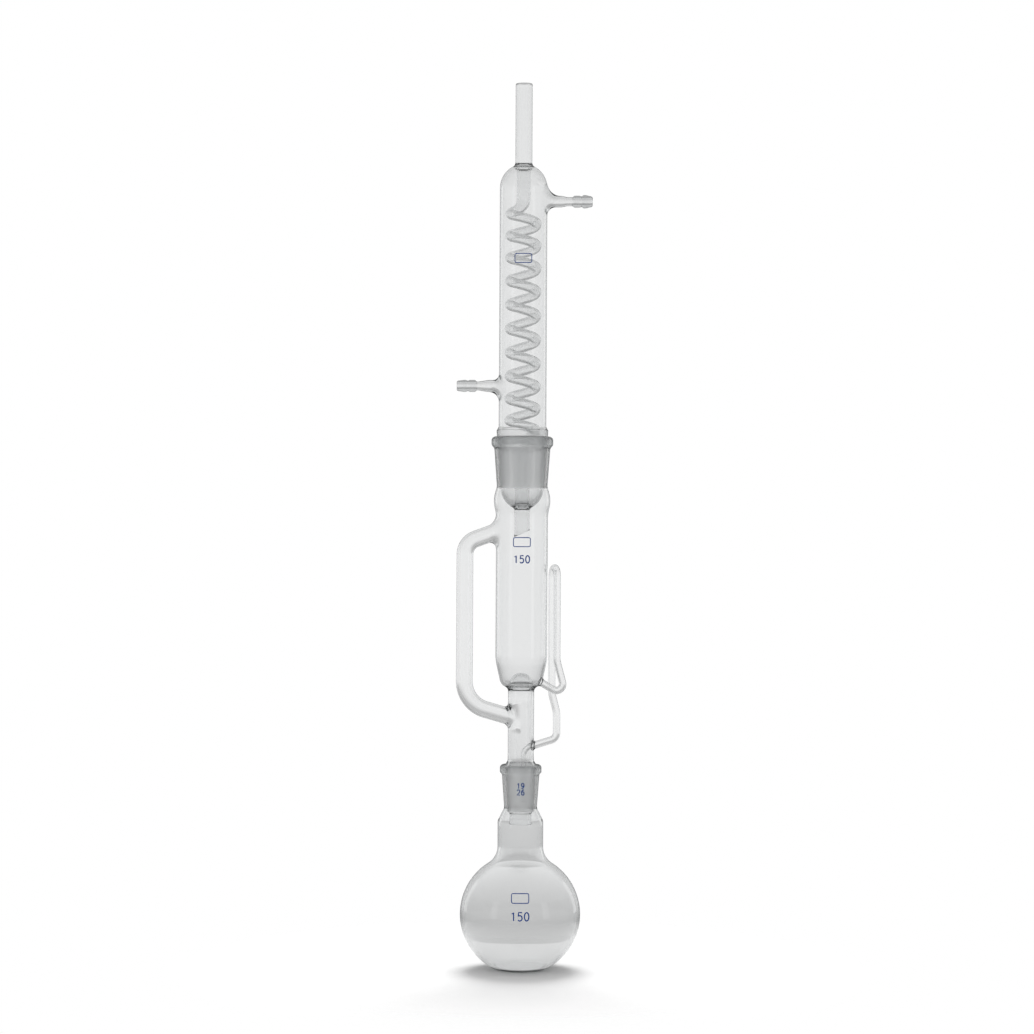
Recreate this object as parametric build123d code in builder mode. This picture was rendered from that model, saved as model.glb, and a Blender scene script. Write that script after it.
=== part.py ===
from build123d import *

import os
from math import cos, pi, radians, sin, sqrt, tan

os.makedirs("parts", exist_ok=True)

# A soxhlet extractor set in three pieces of blown glass: flask, extractor and coil condenser.
# Millimetres, +Z up. The origin is the middle of the flask's flat base, and the vapour arm is on the -X side.

# Ground taper joints, 1 in 10 on the diameter
taper = 0.05
joint_clearance = 0.08
lower_joint_diameter = 18.8
lower_joint_length = 26.0
upper_joint_diameter = 31.1
upper_joint_length = 32.3
upper_joint_rise = 3.7

# Flask
flask_diameter = 72.0
flask_base_diameter = 30.0
flask_base_rounding = 4.0
flask_wall = 1.6
flask_floor = 2.2
flask_neck_diameter = 27.3
flask_neck_length = 22.56
flask_neck_wall = 1.8
flask_neck_blend = 12.0
flask_shoulder_height = 7.7
flask_socket_diameter = 22.5
flask_socket_wall = 1.7
flask_bead_diameter = 24.9
flask_bead_height = 5.6
flask_bead_rounding = 1.9
shoulder_rounding = 4.0

# Extractor: cone, drip tube and stem
extractor_wall = 1.5
cone_overrun = 3.0
cone_end_rounding = 1.2
drip_tube_diameter = 13.4
drip_tube_length = 6.8
stem_diameter = 15.6
cone_shoulder = 2.4

# Extractor: chamber, its floor and the closed dome on top of the stem
chamber_diameter = 31.0
chamber_rise = 65.7
chamber_length = 84.5
floor_taper_drop = 3.0
floor_taper_rounding = 30.0
floor_corner_diameter = 24.6
floor_corner_drop = 17.4
floor_corner_rounding = 5.5
floor_slope = 32.0
floor_wall_rise = 0.9
floor_blend = 3.0
dome_diameter = 13.8
dome_wall = 1.3
dome_rise = 48.1
dome_seal = 0.8
stem_neck_in = 8.0

# Extractor: bulge and upper socket
bulge_diameter = 35.0
bulge_height = 16.3
bulge_rounding = 18.0
bulge_foot_rounding = 25.0
bulge_neck_rounding = 6.0
socket_length = 30.0
socket_base_diameter = 30.3
socket_diameter = 33.6
socket_bead_diameter = 37.0
socket_bead_height = 5.0
socket_bead_rounding = 2.2
socket_bead_foot = 2.0
ground_relief = 1.0

# Extractor: vapour arm
arm_diameter = 10.0
arm_wall = 1.2
arm_offset = 34.1
arm_upper_drop = 10.7
arm_upper_slope = 20.0
arm_upper_bend = 10.0
arm_upper_flare = 5.0
arm_lower_rise = 28.9
arm_lower_slope = 16.0
arm_lower_bend = 17.5
arm_lower_flare = 2.5

# Extractor: siphon
siphon_diameter = 4.4
siphon_bore = 2.6
siphon_gap = 4.3
siphon_spacing = 11.2
siphon_twist = 14.5
siphon_rise = 52.2
siphon_outlet_slope = 30.0
siphon_outlet_drop = 14.0
siphon_outlet_flare = 1.2
siphon_trap_bend = 4.1
siphon_trap_reach = 5.9
siphon_trap_lean = 15.0
siphon_elbow_reach = 5.9
siphon_elbow_bend = 4.5
siphon_swing_top = 42.7
siphon_swing_bottom = 31.2
siphon_bend = 14.0
siphon_entry_rise = 11.5
siphon_entry_slope = 17.5
siphon_entry_flare = 1.2

# Extractor: thin drip line that ends the siphon inside the stem
drip_line_diameter = 3.4
drip_line_bore = 2.0
drip_line_offset = 1.8
drip_line_bend = 5.5
drip_line_end = 22.0

# Condenser: water jacket with its cone, bowl and dome
jacket_diameter = 28.5
jacket_wall = 1.5
jacket_length = 145.8
jacket_shoulder = 2.2
cone_wall = 1.9
bowl_diameter = 26.0
bowl_drop = 2.2
bowl_wall = 1.5
tip_diameter = 9.3
tip_length = 29.4
tip_bevel = 4.2
tip_wall = 1.1
tip_blend = 1.6
vent_diameter = 10.2
vent_wall = 1.5
vent_length = 62.7
vent_blend = 3.0
vent_rounding = 0.7

# Condenser: inner tubes and coil
bulb_diameter = 8.3
bulb_length = 28.3
inner_wall = 1.0
ring_seal_blend = 1.0
collector_diameter = 8.8
collector_top_gap = 4.5
coil_diameter = 22.0
coil_tube_diameter = 6.0
coil_wall = 0.9
coil_pitch = 13.73
coil_turns = 9.5
coil_top_gap = 29.9
coil_return_reach = 6.5
coil_return_bend = 3.85

# Condenser: hose nozzles for the cooling water
outlet_reach = 41.4
nozzle_root_diameter = 8.6
nozzle_root_length = 4.6
nozzle_neck_diameter = 5.5
nozzle_barb_diameter = 7.2
outlet_end_barb_diameter = 8.0
nozzle_tip_diameter = 6.0
nozzle_barb_length = 5.4
nozzle_end_barb_length = 6.6
nozzle_barb_step = 1.2
nozzle_barb_rounding = 1.0
nozzle_rounding = 2.0
nozzle_bore = 3.0
outlet_flare = 6.0
inlet_flare = 4.0
outlet_neck_start = 24.0
inlet_reach = 39.5
inlet_neck_start = 26.5
outlet_drop = 8.3
inlet_rise = 26.7

# Edges softened in the flame
fire_polish = 0.4


# A length that is more than the whole set's, for cutting tools
longest = 1000.0


def rounded(outline, corners):
    """Round the corners (radius, height, rounding) of an outline that is being sketched."""
    for r, z, rounding in corners:
        if rounding:
            fillet(outline.vertices().sort_by_distance((r, z, 0))[0], rounding)


def face_of(corners):
    """Add the closed outline through corners (radius, height, rounding) to the sketch."""
    with BuildLine() as line:
        Polyline([(r, z) for r, z, _ in corners], close=True)
    make_face(line.edges())


def right_half_only():
    """Cut away the half of a sketch that lies left of the Z axis."""
    Rectangle(2 * longest, 2 * longest, align=(Align.MAX, Align.CENTER), mode=Mode.SUBTRACT)


def turned(corners, mode=Mode.ADD):
    """Turn the closed outline through corners (radius, height, rounding) round Z."""
    with BuildSketch(Plane.XZ) as outline:
        face_of(corners)
        rounded(outline, corners)
    revolve(outline.sketch, axis=Axis.Z, mode=mode)


def ring_seam(piece, radius, height):
    """The round edge of a piece about Z that lies nearest to a radius and a height."""
    rings = piece.edges().filter_by(GeomType.CIRCLE)
    return rings.sort_by(lambda e: abs(e.radius - radius) + abs(e.center().Z - height))[0]


def tube_along(route, diameter, mode=Mode.ADD):
    """Carry a round section along the route of a bent tube."""
    with BuildSketch(Plane(origin=route @ 0, z_dir=route % 0)) as section:
        Circle(diameter / 2)
    sweep(section.sketch, path=route, mode=mode)


# Flask: a round body on a flat base, a neck and a ground socket
flask_radius = flask_diameter / 2
body_height = sqrt(flask_radius**2 - (flask_base_diameter / 2) ** 2)
neck_radius = flask_neck_diameter / 2
neck_top = body_height + sqrt(flask_radius**2 - neck_radius**2) + flask_neck_length
ground_end = neck_top + flask_shoulder_height
mouth = ground_end + lower_joint_length
socket_bore = lower_joint_diameter / 2
socket_bore_end = socket_bore - taper * lower_joint_length
socket_end_radius = socket_bore_end + flask_socket_wall
bead_bottom = mouth - flask_bead_height

outer_neck = [
    (0, body_height, 0),
    (neck_radius, body_height, 0),
    (neck_radius, neck_top, shoulder_rounding),
    (socket_end_radius, ground_end, shoulder_rounding),
    (flask_socket_diameter / 2, bead_bottom, flask_bead_rounding),
    (flask_bead_diameter / 2, bead_bottom + flask_bead_rounding / 2, flask_bead_rounding / 2),
    (flask_bead_diameter / 2, mouth, flask_bead_rounding),
    (0, mouth, 0),
]
inner_neck_radius = neck_radius - flask_neck_wall
inner_neck = [
    (0, body_height, 0),
    (inner_neck_radius, body_height, 0),
    (inner_neck_radius, neck_top, shoulder_rounding),
    (socket_bore_end, ground_end - flask_neck_wall / 2, shoulder_rounding / 2),
    (socket_bore_end, ground_end, 0),
    (socket_bore, mouth, 0),
    (0, mouth, 0),
]


def blown_body(radius, floor, neck, blend, mode=Mode.ADD):
    """Turn a round body that is cut flat at floor and runs into the neck with a blend."""
    with BuildSketch(Plane.XZ) as outline:
        with Locations((0, body_height)):
            Circle(radius)
        face_of(neck)
        right_half_only()
        with Locations((0, floor)):
            Rectangle(4 * radius, 4 * radius, align=(Align.CENTER, Align.MAX), mode=Mode.SUBTRACT)
        flat = sqrt(radius**2 - (body_height - floor) ** 2)
        neck_bottom = body_height + sqrt(radius**2 - neck[1][0] ** 2)
        rounded(outline, neck[2:])
        rounded(outline, [(neck[1][0], neck_bottom, blend), (flat, floor, flask_base_rounding)])
    revolve(outline.sketch, axis=Axis.Z, mode=mode)


with BuildPart() as flask:
    blown_body(flask_radius, 0, outer_neck, flask_neck_blend)
    blown_body(
        flask_radius - flask_wall,
        flask_floor,
        inner_neck,
        flask_neck_blend + flask_neck_wall,
        mode=Mode.SUBTRACT,
    )

flask.part.label = "flask"
export_step(flask.part, "parts/flask.step")


# Extractor: heights above the flask's mouth
chamber_radius = chamber_diameter / 2
stem_radius = stem_diameter / 2
stem_bore = stem_radius - extractor_wall
cone_end = ground_end - cone_overrun
cone_end_radius = socket_bore - taper * (mouth - cone_end) - joint_clearance
cone_radius = socket_bore - joint_clearance
drip_end = cone_end - drip_tube_length
drip_bore = drip_tube_diameter / 2 - extractor_wall
chamber_bottom = mouth + chamber_rise
chamber_top = chamber_bottom + chamber_length
bulge_top = chamber_top + bulge_height
upper_mouth = bulge_top + socket_length
upper_cone_top = upper_mouth + upper_joint_rise
upper_ground_end = upper_cone_top - upper_joint_length
dome_radius = dome_diameter / 2
dome_centre = mouth + dome_rise
middle_of_bulge = (chamber_top + bulge_top) / 2
floor_corner = chamber_bottom - floor_corner_drop
floor_corner_radius = floor_corner_diameter / 2
floor_taper = chamber_bottom - floor_taper_drop


def upper_bore(z):
    """Radius of the upper socket's ground bore at a height."""
    return upper_joint_diameter / 2 - taper * (upper_cone_top - z)


stem_outline = [
    (0, drip_end, 0),
    (drip_tube_diameter / 2, drip_end, fire_polish),
    (drip_tube_diameter / 2, cone_end, fire_polish),
    (cone_end_radius, cone_end + cone_end_rounding, cone_end_rounding / 2),
    (cone_radius, mouth, fire_polish),
    (stem_radius, mouth + cone_shoulder, cone_shoulder),
    (stem_radius, floor_corner, 0),
    (0, floor_corner, 0),
]
chamber_outline = [
    (0, floor_corner - floor_corner_radius * tan(radians(floor_slope)), 0),
    (floor_corner_radius, floor_corner, floor_corner_rounding),
    (chamber_radius, floor_taper, floor_taper_rounding),
    (chamber_radius, chamber_top, bulge_foot_rounding),
    (bulge_diameter / 2, middle_of_bulge, bulge_rounding),
    (socket_base_diameter / 2, bulge_top, bulge_neck_rounding),
    (socket_diameter / 2, upper_mouth - socket_bead_height - socket_bead_foot, socket_bead_foot),
    (socket_bead_diameter / 2, upper_mouth - socket_bead_height, socket_bead_rounding),
    (socket_bead_diameter / 2, upper_mouth, socket_bead_rounding),
    (0, upper_mouth, 0),
]
inner_corner = floor_corner + floor_wall_rise
inner_corner_radius = floor_corner_radius - extractor_wall
inner_chamber = [
    (0, inner_corner - inner_corner_radius * tan(radians(floor_slope)), 0),
    (inner_corner_radius, inner_corner, floor_corner_rounding - extractor_wall),
    (chamber_radius - extractor_wall, floor_taper, floor_taper_rounding),
    (chamber_radius - extractor_wall, chamber_top, bulge_foot_rounding),
    (bulge_diameter / 2 - extractor_wall, middle_of_bulge, bulge_rounding),
    (upper_bore(upper_ground_end), upper_ground_end - ground_relief, 2 * ground_relief),
    (upper_bore(upper_ground_end), upper_ground_end, 0),
    (upper_bore(upper_mouth), upper_mouth, 0),
    (0, upper_mouth, 0),
]
inner_stem = [
    (0, drip_end, 0),
    (drip_bore, drip_end, 0),
    (drip_bore, cone_end - fire_polish, extractor_wall),
    (cone_end_radius - extractor_wall, cone_end + extractor_wall, extractor_wall),
    (cone_radius - extractor_wall, mouth - extractor_wall, extractor_wall),
    (stem_bore, mouth + cone_shoulder, cone_shoulder),
    (stem_bore, dome_centre - stem_neck_in, 0),
    (dome_radius - dome_wall, dome_centre, 0),
    (0, dome_centre, 0),
]


def floor_height(radius):
    """Height of the outside of the chamber's floor at a radius, inside its rounded corner."""
    return floor_corner - (floor_corner_radius - radius) * tan(radians(floor_slope))


# Vapour arm in the XZ plane, from the chamber's wall over and down to the stem
arm_upper_z = chamber_top - arm_upper_drop
arm_lower_z = mouth + arm_lower_rise
arm_top_corner = arm_upper_z - (arm_offset - chamber_radius) * tan(radians(arm_upper_slope))
arm_bottom_corner = arm_lower_z + (arm_offset - stem_radius) * tan(radians(arm_lower_slope))
with BuildLine() as arm_line:
    FilletPolyline(
        (-dome_radius, 0, arm_upper_z + (chamber_radius - dome_radius) * tan(radians(arm_upper_slope))),
        (-arm_offset, 0, arm_top_corner),
        (-arm_offset, 0, arm_bottom_corner),
        (-stem_bore / 2, 0, arm_lower_z - (stem_radius - stem_bore / 2) * tan(radians(arm_lower_slope))),
        radius=[arm_upper_bend, arm_lower_bend],
    )
arm_route = arm_line.wire()

# Siphon: outlet low in the chamber, a trap bend, up, over the arch and down to the stem
siphon_offset = chamber_radius + siphon_gap
spread = siphon_spacing / 2
twist = radians(siphon_twist)
rising = (siphon_offset + spread * sin(twist), -spread * cos(twist))
falling = (siphon_offset - spread * sin(twist), spread * cos(twist))
arch_bottom = chamber_bottom + siphon_rise - spread
outlet_x = stem_radius
outlet_z = chamber_bottom - siphon_outlet_drop
trap_x = rising[0] + siphon_trap_reach
trap_z = outlet_z - (trap_x - outlet_x) * tan(radians(siphon_outlet_slope))
elbow_x = chamber_radius + siphon_elbow_reach
entry_z = mouth + siphon_entry_rise
elbow_z = entry_z + (elbow_x - stem_radius) * tan(radians(siphon_entry_slope))
with BuildLine() as siphon_line:
    FilletPolyline(
        (outlet_x, 0, outlet_z),
        (trap_x, rising[1], trap_z),
        (*rising, trap_z + siphon_trap_reach / tan(radians(siphon_trap_lean))),
        (*rising, arch_bottom),
        radius=[siphon_trap_bend, siphon_bend],
    )
    ThreePointArc((*rising, arch_bottom), (siphon_offset, 0, arch_bottom + spread), (*falling, arch_bottom))
    FilletPolyline(
        (*falling, arch_bottom),
        (*falling, mouth + siphon_swing_top),
        (elbow_x, falling[1] / 4, mouth + siphon_swing_bottom),
        (elbow_x, 0, elbow_z),
        (stem_bore + extractor_wall / 2, 0, entry_z - extractor_wall / 2 * tan(radians(siphon_entry_slope))),
        radius=[siphon_bend, siphon_bend, siphon_elbow_bend],
    )
siphon_route = siphon_line.wire()

# Drip line: from the siphon's entry through the stem's wall, down to inside the cone
line_corner = entry_z - (stem_radius - drip_line_offset) * tan(radians(siphon_entry_slope))
with BuildLine() as drip_line:
    FilletPolyline(
        (stem_radius, 0, entry_z),
        (drip_line_offset, 0, line_corner),
        (drip_line_offset, 0, mouth - drip_line_end),
        radius=[drip_line_bend],
    )
drip_route = drip_line.wire()

with BuildPart() as extractor:
    with BuildSketch(Plane.XZ) as skin:
        face_of(chamber_outline)
        face_of(stem_outline)
        rounded(skin, chamber_outline)
        rounded(skin, stem_outline)
        rounded(skin, [(stem_radius, floor_height(stem_radius), floor_blend)])
    revolve(axis=Axis.Z)

    tube_along(arm_route, arm_diameter)
    seams = extractor.edges(Select.NEW)
    fillet([e for e in seams if e.center().Z > chamber_bottom], arm_upper_flare)
    fillet([e for e in seams if e.center().Z < chamber_bottom], arm_lower_flare)

    tube_along(siphon_route, siphon_diameter)
    seams = extractor.edges(Select.NEW)
    fillet([e for e in seams if e.center().Z > dome_centre - stem_neck_in], siphon_outlet_flare)
    fillet([e for e in seams if e.center().Z < dome_centre - stem_neck_in], siphon_entry_flare)

    # The chamber's room, with the closed end of the stem standing up in its floor
    with BuildSketch(Plane.XZ) as room:
        face_of(inner_chamber)
        rounded(room, inner_chamber)
        with Locations((0, dome_centre)):
            Circle(dome_radius, mode=Mode.SUBTRACT)
            Rectangle(
                dome_diameter, chamber_rise, align=(Align.CENTER, Align.MAX), mode=Mode.SUBTRACT
            )
    revolve(axis=Axis.Z, mode=Mode.SUBTRACT)
    seal_height = inner_corner - (inner_corner_radius - dome_radius) * tan(radians(floor_slope))
    fillet(ring_seam(extractor, dome_radius, seal_height), dome_seal)

    # The stem's bore, closed by the dome
    with BuildSketch(Plane.XZ) as bore:
        face_of(inner_stem)
        rounded(bore, inner_stem)
        with Locations((0, dome_centre)):
            Circle(dome_radius - dome_wall)
        right_half_only()
    revolve(axis=Axis.Z, mode=Mode.SUBTRACT)

    tube_along(arm_route, arm_diameter - 2 * arm_wall, mode=Mode.SUBTRACT)
    tube_along(drip_route, drip_line_diameter)
    tube_along(siphon_route, siphon_bore, mode=Mode.SUBTRACT)
    tube_along(drip_route, drip_line_bore, mode=Mode.SUBTRACT)

extractor.part.label = "extractor"
export_step(extractor.part, "parts/extractor.step")


# Condenser: heights down and up from its ground cone, which sits in the extractor's socket
tip_radius = tip_diameter / 2
bowl_radius = bowl_diameter / 2
jacket_radius = jacket_diameter / 2
room_radius = jacket_radius - jacket_wall
vent_radius = vent_diameter / 2
bulb_radius = bulb_diameter / 2
collector_radius = collector_diameter / 2
upper_cone_end_radius = upper_bore(upper_ground_end) - joint_clearance
upper_cone_radius = upper_bore(upper_cone_top) - joint_clearance
bowl_centre = upper_ground_end - bowl_drop
tip_end = bowl_centre - tip_length
dome_base = upper_cone_top + jacket_length
dome_top = dome_base + jacket_radius
vent_end = dome_base + vent_length
bulb_end = dome_top - bulb_length
tip_meets_bowl = bowl_centre - sqrt(bowl_radius**2 - tip_radius**2)
vent_meets_dome = dome_base + sqrt(jacket_radius**2 - vent_radius**2)
bulb_meets_dome = dome_base + sqrt(room_radius**2 - bulb_radius**2)
collector_meets_bowl = bowl_centre - sqrt((bowl_radius - bowl_wall) ** 2 - collector_radius**2)

tip_outline = [(0, tip_end, 0), (tip_radius, tip_end, 0), (tip_radius, bowl_centre, 0), (0, bowl_centre, 0)]
jacket_outline = [
    (0, bowl_centre, 0),
    (bowl_radius, bowl_centre, bowl_drop / 2),
    (upper_cone_end_radius, upper_ground_end, fire_polish),
    (upper_cone_radius, upper_cone_top, fire_polish),
    (jacket_radius, upper_cone_top + jacket_shoulder, jacket_shoulder),
    (jacket_radius, dome_base, 0),
    (0, dome_base, 0),
]
vent_outline = [
    (0, dome_base, 0),
    (vent_radius, dome_base, 0),
    (vent_radius, vent_end, vent_rounding),
    (0, vent_end, 0),
]
water_outline = [
    (0, bowl_centre, 0),
    (bowl_radius - bowl_wall, bowl_centre, 0),
    (upper_cone_end_radius - cone_wall, upper_ground_end, 0),
    (upper_cone_radius - cone_wall, upper_cone_top, jacket_shoulder),
    (room_radius, upper_cone_top + jacket_shoulder, jacket_shoulder),
    (room_radius, dome_base, 0),
    (0, dome_base, 0),
]

# Coil: a left-handed helix, with a return bend at each end that leads to the tubes on the axis
coil_radius = (coil_diameter - coil_tube_diameter) / 2
coil_top = dome_top - coil_top_gap
coil_bottom = coil_top - coil_pitch * coil_turns
coil_slope = coil_pitch / (2 * pi * coil_radius)
top_angle = -2 * pi * coil_turns
top_frame = Plane(origin=(0, 0, coil_top), x_dir=(cos(top_angle), sin(top_angle), 0), z_dir=(0, 0, 1))
bottom_frame = Plane(origin=(0, 0, coil_bottom))


def coil_return(frame, way):
    """Line from the axis out to the helix's end in a frame, way 1 at the top and -1 at the bottom."""
    out = coil_return_reach
    with BuildLine(frame) as line:
        FilletPolyline(
            (0, 0, way * coil_slope * (2 * out + coil_radius)),
            (0, -way * out, way * coil_slope * (out + coil_radius)),
            (coil_radius, -way * out, way * coil_slope * out),
            (coil_radius, 0, 0),
            radius=[coil_return_bend, coil_return_bend],
        )
    return line.edges()


with BuildLine() as coil_line:
    Helix(coil_pitch, coil_top - coil_bottom, coil_radius, center=(0, 0, coil_bottom), lefthand=True)
    add(coil_return(top_frame, 1))
    add(coil_return(bottom_frame, -1))
coil_route = coil_line.wire()
collector_top = coil_bottom - coil_slope * (2 * coil_return_reach + coil_radius) + collector_top_gap

bulb_outline = [
    (0, bulb_end, 0),
    (bulb_radius, bulb_end, bulb_radius - fire_polish),
    (bulb_radius, dome_base + room_radius, 0),
    (0, dome_base + room_radius, 0),
]
collector_outline = [
    (0, bowl_centre - bowl_radius + bowl_wall, 0),
    (collector_radius, bowl_centre - bowl_radius + bowl_wall, 0),
    (collector_radius, collector_top, collector_radius - fire_polish),
    (0, collector_top, 0),
]
bulb_bore = [
    (0, bulb_end + inner_wall, 0),
    (bulb_radius - inner_wall, bulb_end + inner_wall, bulb_radius - inner_wall - fire_polish),
    (bulb_radius - inner_wall, dome_base + room_radius, inner_wall),
    (vent_radius - vent_wall, dome_top, inner_wall),
    (vent_radius - vent_wall, vent_end, 0),
    (0, vent_end, 0),
]
collector_bore = [
    (0, tip_end, 0),
    (tip_radius - tip_wall, tip_end, 0),
    (tip_radius - tip_wall, bowl_centre - bowl_radius, inner_wall),
    (collector_radius - inner_wall, bowl_centre - bowl_radius + bowl_wall, inner_wall),
    (collector_radius - inner_wall, collector_top - inner_wall, collector_radius - inner_wall - fire_polish),
    (0, collector_top - inner_wall, 0),
]


def nozzle(height, side, reach, neck_start, end_barb, corners_of, mode=Mode.ADD):
    """Turn a hose nozzle round its own level line; side is 1 for +X and -1 for -X."""
    corners = corners_of(reach, neck_start, end_barb)
    with BuildSketch(Plane.XZ) as outline:
        with BuildLine() as line:
            Polyline([(side * x, height + r) for x, r, _ in corners], close=True)
        make_face(line.edges())
        rounded(outline, [(side * x, height + r, rounding) for x, r, rounding in corners])
    revolve(outline.sketch, axis=Axis((0, 0, height), (1, 0, 0)), mode=mode)


def nozzle_skin(reach, neck_start, end_barb):
    """Corners (distance from the jacket's axis, radius, rounding) of a nozzle with two barbs."""
    neck = nozzle_neck_diameter / 2
    barb = nozzle_barb_diameter / 2
    second = reach - nozzle_end_barb_length
    first = second - nozzle_barb_length
    return [
        (room_radius, 0, 0),
        (room_radius, nozzle_root_diameter / 2, 0),
        (jacket_radius + nozzle_root_length, nozzle_root_diameter / 2, nozzle_rounding),
        (neck_start, neck, nozzle_rounding),
        (first, neck, fire_polish),
        (first + nozzle_barb_step, barb, nozzle_barb_rounding),
        (second - nozzle_barb_step, barb, nozzle_barb_rounding),
        (second, neck + fire_polish, fire_polish),
        (second + nozzle_barb_step, end_barb / 2, nozzle_barb_rounding),
        (second + 2 * nozzle_barb_step, end_barb / 2, nozzle_barb_rounding),
        (reach, nozzle_tip_diameter / 2, nozzle_barb_rounding),
        (reach, 0, 0),
    ]


def nozzle_channel(reach, neck_start, end_barb):
    """Corners of the bore of a nozzle, wide where it opens into the jacket."""
    bore = nozzle_bore / 2
    wide = nozzle_root_diameter / 2 - jacket_wall
    return [
        (room_radius - jacket_wall, 0, 0),
        (room_radius - jacket_wall, wide, 0),
        (jacket_radius + nozzle_root_length, wide, nozzle_rounding),
        (neck_start, bore, nozzle_rounding),
        (reach, bore, 0),
        (reach, 0, 0),
    ]


outlet = (dome_base - outlet_drop, 1, outlet_reach, outlet_neck_start, outlet_end_barb_diameter)
inlet = (upper_cone_top + inlet_rise, -1, inlet_reach, inlet_neck_start, nozzle_barb_diameter)

with BuildPart() as condenser:
    with BuildSketch(Plane.XZ) as skin:
        with Locations((0, bowl_centre)):
            Circle(bowl_radius)
        with Locations((0, dome_base)):
            Circle(jacket_radius)
        right_half_only()
        face_of(tip_outline)
        face_of(jacket_outline)
        face_of(vent_outline)
        rounded(skin, jacket_outline)
        rounded(skin, vent_outline)
        rounded(skin, [(tip_radius, tip_meets_bowl, tip_blend), (vent_radius, vent_meets_dome, vent_blend)])
    revolve(axis=Axis.Z)
    bevel_line = (tip_diameter, 0, tip_bevel)
    bevel_normal = (-tip_bevel, 0, tip_diameter)
    split(bisect_by=Plane((-tip_radius, 0, tip_end), bevel_line, bevel_normal), keep=Keep.TOP)

    for port, flare in ((outlet, outlet_flare), (inlet, inlet_flare)):
        nozzle(*port, nozzle_skin)
        fillet(condenser.edges(Select.NEW), flare)

    # The water room of the jacket
    with BuildSketch(Plane.XZ) as room:
        with Locations((0, bowl_centre)):
            Circle(bowl_radius - bowl_wall)
        with Locations((0, dome_base)):
            Circle(room_radius)
        right_half_only()
        face_of(water_outline)
        rounded(room, water_outline)
    revolve(axis=Axis.Z, mode=Mode.SUBTRACT)
    for port in (outlet, inlet):
        nozzle(*port, nozzle_channel, mode=Mode.SUBTRACT)

    # The tubes of the vapour's way, through the water room
    turned(bulb_outline)
    fillet(ring_seam(condenser, bulb_radius, bulb_meets_dome), ring_seal_blend)
    turned(collector_outline)
    fillet(ring_seam(condenser, collector_radius, collector_meets_bowl), ring_seal_blend)
    tube_along(coil_route, coil_tube_diameter)
    turned(bulb_bore, mode=Mode.SUBTRACT)
    turned(collector_bore, mode=Mode.SUBTRACT)
    tube_along(coil_route, coil_tube_diameter - 2 * coil_wall, mode=Mode.SUBTRACT)

condenser.part.label = "condenser"
export_step(condenser.part, "parts/condenser.step")
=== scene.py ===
"""Looks of a soxhlet extractor set: flask, extractor and coil condenser, each one fused piece of glass.

Every glass skin is worked out here as a grid of points: a profile turned about the vertical axis, or a ring
carried along a bent route. Sizes are millimetres in the part's own frame and become metres in the meshes.
"""

from __future__ import annotations

import logging
from dataclasses import dataclass
from enum import Enum

import bmesh
import bpy
import numpy as np
from mathutils import Matrix, Vector

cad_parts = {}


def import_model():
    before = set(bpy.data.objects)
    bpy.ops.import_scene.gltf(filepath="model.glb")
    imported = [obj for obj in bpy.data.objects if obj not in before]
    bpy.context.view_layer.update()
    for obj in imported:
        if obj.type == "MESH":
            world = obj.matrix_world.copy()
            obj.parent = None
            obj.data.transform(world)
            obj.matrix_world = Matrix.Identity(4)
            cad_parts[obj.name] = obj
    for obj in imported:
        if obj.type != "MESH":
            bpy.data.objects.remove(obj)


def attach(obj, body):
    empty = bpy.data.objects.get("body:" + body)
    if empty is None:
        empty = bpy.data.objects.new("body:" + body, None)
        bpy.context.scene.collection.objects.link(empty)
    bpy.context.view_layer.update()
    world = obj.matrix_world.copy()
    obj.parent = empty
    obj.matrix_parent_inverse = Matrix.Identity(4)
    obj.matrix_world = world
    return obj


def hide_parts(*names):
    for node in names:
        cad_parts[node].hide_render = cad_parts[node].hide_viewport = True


LOG = logging.getLogger("soxhlet")

# Metres in a millimetre, and the frame's only body.
MM = 0.001
BODY = "root"
# The faces' attribute that is 1 on the ground bands.
GROUND = "ground"
# A full turn and a quarter of it, in radians.
TURN = 2 * np.pi
QUARTER = np.pi / 2
# Lengths in millimetres, or angles in radians, that count as nothing.
TINY = 1e-6
# Decimals of a millimetre in which welded corners agree.
WELD_DECIMALS = 5
# How far ahead of a tube's end its skin may lie, how much of the way back to the axis is looked at as well,
# and how often that span is halved to find the skin.
AHEAD = 3.0
BACK_SHARE = 0.98
HALVINGS = 45
# How many rings a flare has, and how much wider than the flare its hole is, in cells of the skin's grid.
FLARE_RINGS = 9
HOLE_MARGIN = 0.3
# A line is rows of points. A grid is rings of points, or triangles of corners.
Line = np.ndarray
Grid = np.ndarray


class Finish(Enum):
    """The finishes of the set, by the record's slot names."""

    CLEAR = "clear_glass"
    ENAMEL = "blue_enamel"


@dataclass(frozen=True)
class Steps:
    """How finely the glass is divided.

    Attributes:
        run: The longest step on a straight run, in millimetres.
        bend: The longest step on a bend.
        around: How many points go round a skin.
        tube_around: How many points go round a thin tube. A thick one has twice as many.
        tube_step: The longest step along a thin tube.
    """

    run: float = 2.0
    bend: float = 0.45
    around: int = 104
    tube_around: int = 32
    tube_step: float = 1.0


STEPS = Steps()


def unit(vector: np.ndarray) -> np.ndarray:
    """A vector, or each row of vectors, at length one."""
    return vector / np.linalg.norm(vector, axis=-1, keepdims=True)


def without_repeats(points: Line) -> Line:
    """A line without the points that lie on the one before them."""
    steps = np.linalg.norm(np.diff(points, axis=0), axis=1)
    return points[np.concatenate([[True], steps > TINY])]


def joined(*lines: Line) -> Line:
    """Several lines end to end, as one line."""
    return without_repeats(np.vstack(lines))


def split_at(profile: Line, *rows: int) -> list[Line]:
    """A profile cut at some of its rows, each of which both neighbouring parts keep."""
    cuts = [0, *sorted(rows), len(profile) - 1]
    return [profile[start : end + 1] for start, end in zip(cuts[:-1], cuts[1:])]


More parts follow.
